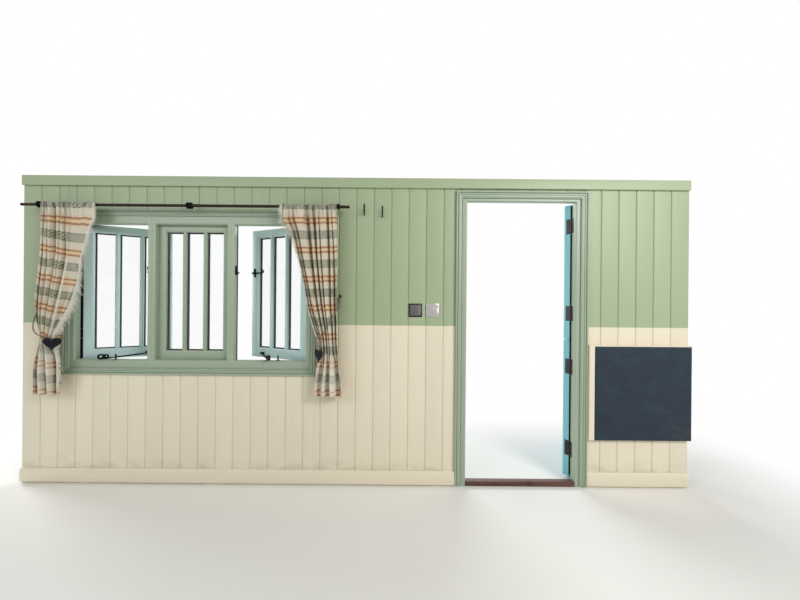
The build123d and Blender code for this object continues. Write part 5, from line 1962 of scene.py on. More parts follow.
@dataclass
class Pole:
    """The iron curtain pole and its three brackets."""

    ring: float = 0.011
    ring_width: float = 0.009
    pitch: float = 0.018
    plate: Pair = (0.044, 0.018)
    plate_thick: float = 0.004
    rise: float = 0.021
    arm: float = 0.004
    clearance: float = 0.0003
    bracket_places: tuple[tuple[float, int], ...] = ((-1.9545, 1), (-1.025, 2), (-0.1025, 1))
    beaten: float = 0.012
    beats: int = 220

    @cached_property
    def extent(self) -> Extent:
        """The pole's box."""
        return Extent.of("curtain_pole")

    @property
    def radius(self) -> float:
        """The pole's radius."""
        return (self.extent.z1 - self.extent.z0) / 2

    @property
    def middle(self) -> Point:
        """X, Y and Z of the pole's middle."""
        e = self.extent
        return ((e.x0 + e.x1) / 2, (e.y0 + e.y1) / 2, (e.z0 + e.z1) / 2)

    def build(self, wall: float) -> None:
        """Makes the pole and its brackets.

        Args:
            wall: Y of the boards' face.
        """
        e, r = self.extent, self.radius
        along = np.linspace(e.x0 + 0.002, e.x1 - 0.002, self.beats)
        beaten = r * (1 - self.beaten * np.random.default_rng(11).random(self.beats))
        profile = np.vstack([[(e.x0, r * 0.55), (e.x0 + 0.0007, r * 0.85)], np.stack([along, beaten], axis=1),
                             [(e.x1 - 0.0007, r * 0.85), (e.x1, r * 0.55)]])
        stock = Stock()
        stock.turned(profile, (0.0, *self.middle[1:]), Axis.X, 24)
        stock.piece("curtain_pole_forged", RUST_IRON, ("curtain_pole",))
        brackets = Stock()
        for x, collars in self.bracket_places:
            self.bracket(brackets, x, collars, wall)
        brackets.piece("pole_brackets_forged", BLACK_IRON, ("pole_brackets",))

    def bracket(self, stock: Stock, x: float, collars: int, wall: float) -> None:
        """A wall plate with two screws, a slanting arm and collars round the pole.

        Args:
            stock: What the parts are added to.
            x: X of its middle.
            collars: How many collars it has.
            wall: Y of the boards' face.
        """
        _, y, z = self.middle
        w, h = self.plate
        foot = z + self.rise
        front = wall - self.plate_thick
        stock.slab(oblong(w / 2, h / 2, 0.006, 4, (x, foot)), Axis.Y, front, wall, 0.001)
        for side in (-1, 1):
            stock.screw((x + side * w * 0.34, front, foot), Axis.Y, -1, 0.0036)
        end = np.array([x, y + self.radius + self.clearance, z + 0.003])
        taper = np.interp(np.linspace(0, 1, 12), (0, 0.12, 0.8, 1), (1.6, 1, 0.9, 1.1))
        arm = straight(np.array([x, front + 0.001, foot]), end, len(taper))
        stock.sweep(arm, disc(self.arm, 16), (1, 0, 0), taper)
        outer, inner, half = self.radius + self.ring, self.radius + self.clearance, self.ring_width / 2
        profile = rectangle(-half, half, inner, outer, 0.0022, 4)[:, :2]
        for i in range(collars):
            middle = x + (i - (collars - 1) / 2) * self.pitch
            stock.hoop(profile, (middle, y, z), Axis.X, 36)
        if collars > 1:
            span = self.pitch / 2 + half
            stock.block(x - span, x + span, y + inner, y + outer, z - self.arm, z + self.arm, 0.001, 1.0)


@dataclass
class Curtain:
    """A gathered curtain on the pole, tied back at its waist.

    The cloth is a grid of rows down it and columns across it. A row's plan is a train of folds with
    broad lobes to the room and narrow valleys between them,
        x = base + c sin(phase),  y = middle - A tanh(k cos(phase)) / tanh(k),
    and each row's A is set so that the row is as long as the cloth is wide. The inner panel hangs
    nearly flat. The heading goes over the pole: the rows start at the turned hem behind it, go up to
    the frill and come down in front.
    """

    name: str
    node: str
    pole: Pole
    end: float
    inward: int
    outer: tuple[Pair, ...]
    inner: tuple[Pair, ...]
    tie_drop: float
    panel_places: tuple[Pair, ...]
    fringe_places: tuple[Pair, ...]
    flat_width: float = 0.86
    drop: float = 1.179
    frill: float = 0.014
    turned_hem: float = 0.045
    folds: float = 5.2
    panel_folds: float = 1.0
    panel_cloth: float = 0.22
    heading_fold: float = 0.0085
    crimps: int = 19
    pinch: float = 0.09
    bluntness: float = 1.0
    ridge: float = 0.0
    shade: float = 1.0
    slack: float = 0.9
    reach: float = 0.0292
    deepest_fold: float = 0.0265
    head_crimp: float = 0.0040
    crimp_relief: float = 0.0026
    ragged: float = 0.0075
    thickness: float = 0.0011
    thread: float = 0.0011
    thread_spacing: float = 0.0016
    columns: int = 249
    row_pitch: float = 0.0082
    dip: float = 0.045
    turn_in: float = 0.9
    seed: int = 3

    def edge(self, places: tuple[Pair, ...], below: Array) -> Array:
        """X of an edge at distances below the pole, on a smooth curve through its places.

        Args:
            places: The edge's places, in millimetres.
            below: Distance below the pole.

        Returns:
            X at each distance.
        """
        last = places[-1][0]
        curve = through([(places[0][0], -50), *places, (last, self.drop * 1000)], 200)
        return self.end + self.inward * np.interp(below * 1000, curve[:, 1], curve[:, 0]) / 1000

    def ripple(self, u: Array, v: Array, seed: int, waves: float, rows: float) -> Array:
        """Smooth random values from -1 to 1: a mean of five cosines of u and v with random phases.

        Args:
            u: Place across the cloth.
            v: Place down the cloth.
            seed: Number of the random draw.
            waves: Most waves across the cloth.
            rows: Most waves to a unit down it.

        Returns:
            The values.
        """
        draw = np.random.default_rng(self.seed * 31 + seed)
        total = np.zeros(np.broadcast(u, v).shape)
        for _ in range(5):
            a, b = draw.uniform(0.4, 1.0) * waves, draw.uniform(-1, 1) * rows
            total = total + np.cos(2 * pi * (a * u + b * v) + draw.uniform(0, 2 * pi))
        return total / 3.2

    @cached_property
    def rows(self) -> Array:
        """Distance of each row from the top of the frill, below 0 behind the pole.

        Returns:
            Rows by 1.
        """
        top, crest, brow = self.drop + self.frill, 0.0004, 0.032
        front = [np.linspace(crest, brow, 14), np.arange(0.038, top, self.row_pitch), [top]]
        back = [-np.arange(self.turned_hem, brow, -0.008), -np.linspace(brow, crest, 10)]
        return np.concatenate(back + front)[:, None]

    @cached_property
    def below(self) -> Array:
        """Distance of each row below the pole."""
        return np.abs(self.rows) - self.frill

    @cached_property
    def u(self) -> Array:
        """Place of each column across the cloth, from 0 to 1."""
        return np.linspace(0, 1, self.columns)[None, :]

    @cached_property
    def panel(self) -> Array:
        """1 in the inner panel and 0 elsewhere."""
        return smooth_step(self.u, 1 - self.panel_cloth - 0.02, 1 - self.panel_cloth + 0.02)

    @cached_property
    def loose(self) -> Array:
        """1 where the inner panel hangs free of the tie."""
        return self.panel * (1 - smooth_step(self.below, self.tie_drop * 0.4, self.tie_drop))

    @cached_property
    def free(self) -> Array:
        """1 below the heading, where the folds stand free of the pole."""
        return smooth_step(self.below, 0.006, 0.10)

    @cached_property
    def head(self) -> Array:
        """1 on the pole, where the cloth is crimped most."""
        return 1 - smooth_step(self.below, -0.002, 0.040)

    @cached_property
    def crimp(self) -> Array:
        """The heading's small gathers, from -1 to 1."""
        return np.sin(2 * pi * self.crimps * self.u + 3.4 * self.ripple(self.u, self.below * 1.5, 4, 5, 1))

    def surface(self) -> tuple[Array, Array, Array]:
        """The cloth's points, their places on the flat cloth and the shade and highlight painted on each.

        Returns:
            Points by rows and columns, their flat places and their painted shade and highlight.
        """
        _, pole_y, pole_z = self.pole.middle
        u, s, deep = self.u, self.rows, np.abs(self.rows)
        phase, wave = self.folding()
        x = self.across_pole(phase)
        y = self.off_pole(x, wave)
        x = x + self.inward * self.turn_in * (pole_y - y) * (y < pole_y) * (1 - smooth_step(u, 0.06, 0.24))
        turned = smooth_step(u, 0.75, 1.0) - smooth_step(1 - u, 0.75, 1.0)
        x = x - self.inward * 0.036 * turned * smooth_step(deep, 0.002, 0.03) * (s < 0)
        ragged = self.ragged * (0.5 + 0.5 * np.sin(2 * pi * 31 * u + 3 * self.ripple(u, u * 0, 7, 30, 0)))
        ragged = ragged * (0.6 + 0.4 * self.ripple(u, u * 0, 8, 11, 0)) * (1 - smooth_step(deep, 0, 0.016))
        hem = smooth_step(self.below, self.drop - 0.10, self.drop) * 0.004 * (0.5 + 0.5 * wave)
        z = pole_z + self.frill - deep - ragged + hem
        points = np.stack(np.broadcast_arrays(x, y, z), axis=-1)
        return points, self.flat_places(points), self.tones(wave)

    def across_pole(self, phase: Array) -> Array:
        """X of each point, between the cloth's two edges in its row.

        Args:
            phase: The folds' phase at each point.

        Returns:
            X by rows and columns.
        """
        left, right = self.edge(self.outer, self.below), self.edge(self.inner, self.below)
        pitch = (right - left) / (self.folds + self.panel_folds)
        bend = self.pinch * pitch * (1 - self.slack * self.loose) * (1 - 2.0 * self.panel)
        share = (right - self.edge(self.panel_places, self.below)) / (right - left)
        x = left + (right - left) * self.spread(share) + bend * np.sin(phase)
        return np.clip(x, np.minimum(left, right), np.maximum(left, right))

    def off_pole(self, x: Array, wave: Array) -> Array:
        """Y of each point: the folds below the heading, and the cloth on the pole in it.

        Args:
            x: X of each point.
            wave: The folds' wave at each point.

        Returns:
            Y by rows and columns.
        """
        u, below, free, pole_y = self.u, self.below, self.free, self.pole.middle[1]
        side = np.where(self.rows < 0, 1.0, -1.0)
        amplitude = self.fit(x, wave) * free + self.heading_fold * (1 - free)
        forward = (self.pole.radius + 0.0020 + self.heading_fold) * (1 - free)
        forward = forward * (1 - 0.55 * smooth_step(-below, 0.004, self.frill))
        relief = self.crimp_relief * (1 - smooth_step(below, 0.02, 0.20)) + self.head_crimp * self.head
        small = self.crimp * relief * (1 - 0.3 * self.panel)
        small = small + 0.0012 * self.ripple(u, below, 5, 20, 8) * smooth_step(below, 0.05, 0.2)
        crease = 0.0026 * self.ripple(u, below, 6, 16, 7) * np.exp(-((below - self.tie_drop) / 0.10) ** 2)
        lean = 0.013 * self.loose * free
        y = pole_y + side * (forward + 0.0009) - amplitude * wave + small + crease - lean
        from_panel = u - 1 + self.panel_cloth
        y = y - self.ridge * np.exp(-(from_panel / 0.009) ** 2) * smooth_step(below, 0.26, 0.42)
        return np.clip(y, pole_y - self.reach, pole_y + self.reach)

    def tones(self, wave: Array) -> Array:
        """The painted shade and highlight of each point: 1 for painted shade deep in a fold, -1 for the
        palest painted highlight.

        Args:
            wave: The folds' wave at each point.

        Returns:
            A tone to each point.
        """
        u, below = self.u, self.below
        # Painted shade in the folds, uneven from place to place and weaker where the panel hangs loose.
        uneven = np.clip(0.62 + 0.6 * self.ripple(u, below * 0.7, 12, 9, 1.6), 0.1, 1.1)
        valley = smooth_step(-wave, -0.1, 1.0) * (1 - 0.9 * self.slack * self.loose)
        valley = valley * np.maximum(self.free, 0.8) * uneven
        # Painted shade in the slits between the heading's gathers.
        slit = smooth_step(-self.crimp, 0.30, 1.0) * (1 - smooth_step(below, 0.02, 0.21))
        slit = slit * (1 - 0.6 * self.slack * self.panel)
        valley = np.maximum(valley, 1.15 * slit * np.clip(uneven + 0.25, 0, 1))
        valley = np.maximum(valley, 1.2 * smooth_step(-self.crimp, 0.35, 0.95) * self.head)
        # Painted highlight along the ridge, at the inner edge and below the tie, where painted shade doesn't
        # cover it.
        ridge = np.exp(-((u - 1 + self.panel_cloth) / 0.0055) ** 2) * smooth_step(below, 0.28, 0.38)
        pale = 0.9 * ridge * (self.ridge > 0) + 0.40 * smooth_step(u, 0.965, 0.995)
        pale = pale + 0.30 * smooth_step(below, self.tie_drop, self.tie_drop + 0.08)
        return (valley * self.shade - pale * (1 - valley)) * (self.rows > 0)

    def folding(self) -> tuple[Array, Array]:
        """The folds' phase and their wave from -1, at the wall, to 1, at the room.

        Below the tie every two folds run together into one.

        Returns:
            The phase and the wave, by rows and columns.
        """
        u, below, panel = self.u, self.below, self.panel
        cloth = self.panel_cloth
        density = self.folds / (1 - cloth) * (1 - panel) + self.panel_folds / cloth * panel
        count = np.cumsum(density, axis=1)
        count = (count - count[:, :1]) / (count[:, -1:] - count[:, :1]) * (self.folds + self.panel_folds)
        count = count + 0.36 * self.ripple(u, below * 0.8, 1, 3.0, 0.8)
        count = count + 0.20 * self.ripple(u, below, 2, 7.0, 1.1)
        phase = 2 * pi * (count - 0.18)
        k = self.bluntness * (1 - 2 * panel * 0.3)
        wave = np.tanh(k * np.cos(phase)) / np.tanh(k)
        merged = 0.80 * smooth_step(below, self.tie_drop + 0.01, self.tie_drop + 0.13)
        broad = np.tanh(1.9 * np.cos(phase / 2 + 0.4)) / np.tanh(1.9)
        wave = (wave * (1 - merged) + broad * merged) * (1 - self.slack * self.loose)
        return phase, wave * (1 + 0.20 * self.ripple(u, below, 3, 6, 1.5))

    def spread(self, share: Array) -> Array:
        """Where each column lies between the edges, from 0 to 1, if the panel takes a share of each row.

        Args:
            share: The panel's share of each row.

        Returns:
            Places from 0 to 1.
        """
        cloth, panel = self.panel_cloth, self.panel
        density = (1 - share) / (1 - cloth) * (1 - panel) + share / cloth * panel
        total = np.cumsum(density, axis=1) - density[:, :1]
        return total / total[:, -1:]

    def fit(self, x: Array, wave: Array) -> Array:
        """The amplitude of each row that makes its folds as long as the cloth is wide.

        The length of a row is the sum of sqrt(dx^2 + (A dw)^2), and A is found by halving an interval.

        Args:
            x: X of each point.
            wave: The folds' wave at each point.

        Returns:
            An amplitude to each row.
        """
        dx, dw = np.diff(x, axis=1), np.diff(wave, axis=1)
        low, high = np.zeros((len(x), 1)), np.full((len(x), 1), 0.04)
        for _ in range(24):
            middle = (low + high) / 2
            length = np.sqrt(dx ** 2 + (middle * dw) ** 2).sum(axis=1, keepdims=True)
            low = np.where(length < self.flat_width, middle, low)
            high = np.where(length < self.flat_width, high, middle)
        return np.minimum(low, self.deepest_fold)

    def flat_places(self, points: Array) -> Array:
        """Each point's place on the flat cloth: across it, and down it along its own column.

        Args:
            points: The cloth's points.

        Returns:
            Metres across and down the cloth.
        """
        u, s = self.u, self.rows
        start = int(np.argmax(s[:, 0] > 0))
        steps = np.linalg.norm(np.diff(points, axis=0), axis=2)
        smooth_steps = steps.mean(axis=1, keepdims=True) * 0.6 + steps * 0.4
        down = np.vstack([np.zeros((1, points.shape[1])), np.cumsum(smooth_steps, axis=0)])
        down = down - down[start]
        settle = smooth_step(s, 0.0, 0.25)
        across = np.broadcast_to(u * self.flat_width, down.shape)
        jogs = 0.0030 * self.ripple(u, s, 9, 9, 1.2) + 0.0010 * self.ripple(u, s, 10, 22, 2)
        return np.stack([across, down + jogs - self.dip * settle * u ** 1.2], axis=-1)

    def build(self) -> None:
        points, flat, valley = self.surface()
        stock = Stock()
        stock.grid(points, flat=flat, valley=valley)
        cloth = stock.piece(self.name, COTTON, (self.node,), sharp=180)
        wall = cloth.modifiers.new("thickness", "SOLIDIFY")
        wall.thickness, wall.offset = self.thickness, 0
        fringe = self.make_fringe(points)

    def make_fringe(self, points: Array) -> bpy.types.Object:
        """Loose threads along the inner edge, each a tapered curl that falls away from it.

        Args:
            points: The cloth's points.

        Returns:
            The fringe.
        """
        draw = np.random.default_rng(self.seed + 70)
        reach = np.array(self.fringe_places)
        edge = points[np.argmax(points[:, 0, 2]):, -1]
        below = self.pole.middle[2] - edge[:, 2]
        chosen = edge[(below > reach[0, 0]) & (below < reach[-1, 0])]
        steps = np.linalg.norm(np.diff(chosen, axis=0), axis=1).sum()
        count = int(steps / self.thread_spacing)
        roots = through(chosen, count) + draw.normal(0, 0.0005, (count, 3))
        length = np.interp(self.pole.middle[2] - roots[:, 2], reach[:, 0], reach[:, 1])
        stock = Stock()
        t = np.linspace(0, 1, 7)[:, None]
        for root, full in zip(roots, length):
            lean, sway = radians(draw.uniform(8, 70)), draw.normal(0, 0.25)
            way = np.array([self.inward * cos(lean), sway, -sin(lean)])
            own = full * draw.uniform(0.35, 1.1)
            curl = np.array([self.inward * draw.normal(-0.1, 0.22), draw.normal(0, 0.16),
                             -0.5 + draw.normal(0, 0.15)])
            path = root - way * 0.002 + way * own * t + curl * own * t ** 2 * 0.7
            stock.sweep(path, disc(self.thread, 6), (0.3, 0.9, 0.2), np.linspace(1.1, 0.45, len(t)))
        return stock.piece(f"{self.name}_fringe", FRINGE_THREAD)


@dataclass
class Tieback:
    """A twisted cord round a curtain, from and to its wall hook, and the felt heart on it."""

    name: str
    hook: Pair
    shoulder: Pair
    tied: Pair
    heart_corner: Pair
    heart_top: float
    heart_angle: float
    heart_shift: float
    stand_off: float
    front: float = -0.1398
    back: float = -0.0742
    wall: float = -0.037
    hook_reach: float = 0.034
    hook_radius: float = 0.004
    cord_radius: float = 0.0025
    clearance: float = 0.0003
    strand_pitch: float = 0.011
    across_route: Point = (1, 0.7, 0.45)
    heart_size: Point = (0.116, 0.080, 0.012)
    heart_points: int = 72

    def route(self) -> Array:
        """Points along the smooth line of the cord, read from a NURBS spline through its route.

        Returns:
            Points along the line.
        """
        x, z = self.hook
        y = self.wall - self.hook_reach / 2
        off = self.cord_radius + self.clearance
        start = z - self.hook_radius - self.clearance
        (sx, sz), (tx, tz) = self.shoulder, self.tied
        level = [(sx, sz), (tx - 0.2 * (tx - sx), tz - 0.2 * (tz - sz)), (tx, tz)]
        route = [(x, y - off, start), (x, y - off, start - 0.020), *((a, self.front, b) for a, b in level),
                 *((a, self.back, b) for a, b in reversed(level)), (x, y + off, start - 0.020),
                 (x, y + off, start)]
        curve = bpy.data.curves.new("route", "CURVE")
        curve.dimensions = "3D"
        curve.resolution_u = 60
        spline = curve.splines.new("NURBS")
        spline.points.add(len(route) - 1)
        for point, place in zip(spline.points, route):
            point.co = (*place, 1)
        spline.order_u = 3
        spline.use_endpoint_u = True
        holder = bpy.data.objects.new("route", curve)
        line = bpy.data.meshes.new_from_object(holder)
        points = np.array([v.co for v in line.vertices])
        bpy.data.objects.remove(holder)
        bpy.data.curves.remove(curve)
        bpy.data.meshes.remove(line)
        return points

    def cord(self, strands: tuple[Stock, Stock]) -> None:
        """A pale and a dark strand laid round the route as centre + r (cos t, sin t).

        Args:
            strands: What the pale and the dark strand are added to.
        """
        line = self.route()
        steps = np.linalg.norm(np.diff(line, axis=0), axis=1)
        at = np.concatenate([[0], np.cumsum(steps)])
        distance = np.linspace(0, at[-1], int(at[-1] / self.strand_pitch * 9))
        path = np.stack([np.interp(distance, at, line[:, k]) for k in range(3)], axis=1)
        side, rise = crosswise(path, self.across_route)
        lay = self.cord_radius * 0.72
        for strand, stock in enumerate(strands):
            angle = distance / self.strand_pitch * 2 * pi + strand * pi
            centre = path + lay * (np.cos(angle)[:, None] * side + np.sin(angle)[:, None] * rise)
            stock.sweep(centre, disc(self.cord_radius * 0.78, 8), self.across_route)
        x, z = self.hook
        turn = np.arange(10) * pi / 5
        ring = np.stack([0.0019 * np.cos(turn), 0.0078 + 0.0016 * np.sin(turn)], axis=1)
        strands[0].hoop(ring, (x, self.wall - self.hook_reach / 2, z - 0.0021), Axis.Y)

    def wall_hook(self, stock: Stock) -> None:
        """A round rose and a stem that turns up to a ball.

        Args:
            stock: What the parts are added to.
        """
        x, z = self.hook
        rose = [(0.0, 0.0100), (-0.002, 0.0100), (-0.0035, 0.0085), (-0.0042, 0.005)]
        stock.turned(rose, (x, self.wall, z), Axis.Y)
        reach = self.hook_reach
        stem = [(-0.002, 0), (-reach * 0.45, -0.0006), (-reach * 0.82, 0.0006), (-reach + 0.0036, 0.006),
                (-reach + 0.0036, 0.0095)]
        stem = through([(x, self.wall + out, z + up) for out, up in stem], 22)
        stock.sweep(stem, disc(0.0046, 14), (1, 0, 0), np.linspace(1.1, 1.0, len(stem)))
        ball = [(-0.0036, 0.001), (-0.0024, 0.003), (0, 0.0039), (0.0024, 0.003), (0.0036, 0.001)]
        stock.turned(ball, (x, self.wall - reach + 0.0038, z + 0.0125), Axis.Z, 16)

    def heart(self) -> None:
        """A stuffed heart with a line of stitches near its edge.

        Its outline is (16 sin^3 t, 13 cos t - 5 cos 2t - 2 cos 3t - cos 4t), drawn in to its middle, and
        its faces are domed as sqrt(1 - r^2).
        """
        width, height, thick = self.heart_size
        t = np.arange(self.heart_points) * 2 * pi / self.heart_points
        up = 13 * np.cos(t) - 5 * np.cos(2 * t) - 2 * np.cos(3 * t) - np.cos(4 * t)
        outline = np.stack([16 * np.sin(t) ** 3, up], axis=1)
        low, high = outline.min(0), outline.max(0)
        outline = (outline - (0, high[1])) * (width / (high[0] - low[0]), height / (high[1] - low[1]))
        core = np.array([0, -height * 0.45])
        share = np.sin(np.linspace(0.04, pi / 2, 12))
        front = core + (outline - core) * share[:, None, None]
        dome = thick / 2 * (0.16 + 0.84 * np.sqrt(np.clip(1 - share ** 2, 0, 1)) ** 0.75)
        dome[-1] = 0.0
        rings = np.concatenate([front, front[::-1][1:]])
        depth = np.concatenate([-dome, dome[::-1][1:]])
        sections = np.stack([Axis.Y.place(ring, y) for ring, y in zip(rings, depth)])
        stock = Stock()
        stock.bar(sections)
        middle_y = -(2 * self.cord_radius + 2 * self.clearance) - thick / 2 - self.stand_off
        stitches = Stock()
        seam = core + (outline - core) * 0.86
        rise = -thick * 0.30 - 0.0006 * np.sin(pi * np.linspace(0, 1, 5))
        taper = np.array([0.4, 1, 1, 1, 0.4])
        for i in range(0, len(seam), 3):
            flat = straight(seam[i], seam[(i + 2) % len(seam)], len(rise))
            stitches.sweep(np.insert(flat, 1, rise, axis=1), disc(0.0004, 5), (0, 1, 0), taper)
        for part in (stock, stitches):
            part.move((self.heart_shift, middle_y, 0)).turn((0.0, 0.0), self.heart_angle)
            part.move((*self.heart_corner, self.heart_top))
        felt = stock.piece(f"{self.name}_heart_felt", NAVY_FELT, ("tieback_hearts",), sharp=180)
        stitches.piece(f"{self.name}_heart_stitches", NATURAL_CORD, sharp=180)


# Fittings


@dataclass
class CoatHooks:
    """Two slim iron coat hooks, each with a long upper prong and a short lower one."""

    places: tuple[Pair, ...] = ((0.050, 1.763), (0.166, 1.751))
    wall: float = -0.037
    height: float = 0.076
    width: float = 0.0064
    thick: float = 0.005

    def build(self) -> None:
        """Makes both hooks."""
        stock = Stock()
        for x, z in self.places:
            self.hook(stock, x, z)
        stock.piece("coat_hooks_forged", BLACK_IRON, ("coat_hooks",))

    def hook(self, stock: Stock, x: float, z: float) -> None:
        """A tapered back plate with two screws, and two prongs with ball ends.

        Args:
            stock: What the parts are added to.
            x: X of its middle.
            z: Height of its middle.
        """
        half, top = self.width / 2, self.height / 2
        front = self.wall - self.thick
        right = [(half * 0.8, -top), (half, -top * 0.3), (half * 0.75, 0.0), (half, top * 0.6),
                 (half * 0.7, top)]
        outline = np.array([(-right[0][0], -top), *right, *((-a, b) for a, b in right[:0:-1])]) + (x, z)
        stock.slab(rounded(outline, 0.004, 3), Axis.Y, front, self.wall, 0.0012)
        for up in (top * 0.72, -top * 0.78):
            stock.screw((x, front, z + up), Axis.Y, -1, 0.0028)
        lower = [(0.0, -0.020), (0.010, -0.027), (0.020, -0.024), (0.0255, -0.012)]
        upper = [(0.0, 0.004), (0.012, 0.000), (0.024, 0.004), (0.0325, 0.019)]
        for prong in (lower, upper):
            path = through([(x, front + 0.001 - out, z + up) for out, up in prong], 18)
            stock.sweep(path, oblong(1.0, 0.8, 0.5, 3), (1, 0, 0), np.linspace(0.0046, 0.0030, len(path)))
            ball = [(-0.0042, 0.0012), (-0.0028, 0.0036), (0, 0.0046), (0.0028, 0.0036), (0.0042, 0.0012)]
            stock.turned(ball, path[-1] + (0, 0, 0.002), Axis.Z, 16)


@dataclass
class SwitchPlate:
    """A square plate with two rockers and two screws."""

    name: str
    node: str
    finish: Finish
    face_finish: Finish
    rim: float = 0.009

    def build(self) -> None:
        """Makes the plate, the raised face inside its rim and the rockers."""
        e = Extent.of(self.node)
        plate, face = Stock(), Stock()
        front, r = e.y0 + 0.0035, self.rim
        plate.slab(rectangle(e.x0, e.x1, e.z0, e.z1, 0.003, 4), Axis.Y, front + 0.0015, e.y1, 0.0012)
        inner = rectangle(e.x0 + r, e.x1 - r, e.z0 + r, e.z1 - r, 0.002, 3)
        face.slab(inner, Axis.Y, front, front + 0.002, 0.0014)
        middle, z = (e.x0 + e.x1) / 2, (e.z0 + e.z1) / 2
        for side in (-1, 1):
            face.screw((middle + side * 0.028, front, z), Axis.Y, -1, 0.0034)
            x, tilt = middle + side * 0.0115, side * 0.0014
            rocker = [(front + 0.001, z - 0.016), (front - 0.0016 - tilt, z - 0.0158), (front - 0.0022, z),
                      (front - 0.0016 + tilt, z + 0.0158), (front + 0.001, z + 0.016)]
            face.slab(rounded(rocker, 0.0008), Axis.X, x - 0.0095, x + 0.0095, 0.0006)
        plate.piece(self.name, self.finish, (self.node,))
        face.piece(f"{self.name}_rockers", self.face_finish)


@dataclass
class HeatShield:
    """The slate slab beside the door on its spacers, with a cream timber trim."""

    rows: int = 46
    columns: int = 48
    riven: float = 0.0011
    arris: float = 0.0014
    inset: float = 0.0012

    def build(self) -> None:
        """Makes the slate and the trim."""
        e = Extent.of("heat_shield")
        draw = np.random.default_rng(8)
        x = np.linspace(e.x0 + self.inset, e.x1 - self.inset, self.columns)[None, :]
        z = np.linspace(e.z0 + self.inset, e.z1 - self.inset, self.rows)[:, None]
        relief = np.zeros((self.rows, self.columns))
        for _ in range(14):
            a, b, phase = draw.uniform(-42, 42), draw.uniform(-30, 30), draw.uniform(0, 2 * pi)
            relief += np.cos(a * x + b * z + phase)
        relief = (relief - relief.min()) / (relief.max() - relief.min()) * self.riven
        face = np.stack(np.broadcast_arrays(x, e.y0 + relief, z), axis=-1)
        rim = np.concatenate([face[0], face[1:, -1], face[-1, -2::-1], face[-2:0:-1, 0]])
        wide = rim + (0, self.arris, 0)
        for k, low, high in ((0, e.x0, e.x1), (2, e.z0, e.z1)):
            wide[:, k] = np.where(rim[:, k] > high - 0.002, high, rim[:, k])
            wide[:, k] = np.where(rim[:, k] < low + 0.002, low, wide[:, k])
        back = np.column_stack([wide[:, 0], np.full(len(wide), e.y1), wide[:, 2]])
        stock = Stock()
        stock.grid(face)
        edges = np.array([0.0, 1.0, 0.0])[:, None]
        number = stock.grid(np.stack([rim, wide, back]), around=True, arris=edges)
        stock.lids.append(number[-1].tolist())
        made = stock.piece("heat_shield_riven", SLATE, ("heat_shield",))
        face_outwards(made.data, weld=0.00001)
        Workshop.dress("heat_shield_spacers", LEVEL_SOFTWOOD)
        trim = Extent.of("heat_shield_trim")
        timber = Stock()
        timber.block(trim.x0, e.x0, trim.y0, trim.y1, trim.z0, trim.z1, 0.0016)
        upper = rectangle(trim.y0, trim.y1, e.z1, trim.z1, 0.0014, 3)
        timber.slab(upper, Axis.X, e.x0, trim.x1, level=1.0)
        timber.piece("heat_shield_trim_eased", CREAM_PAINT, ("heat_shield_trim",))


# The studio


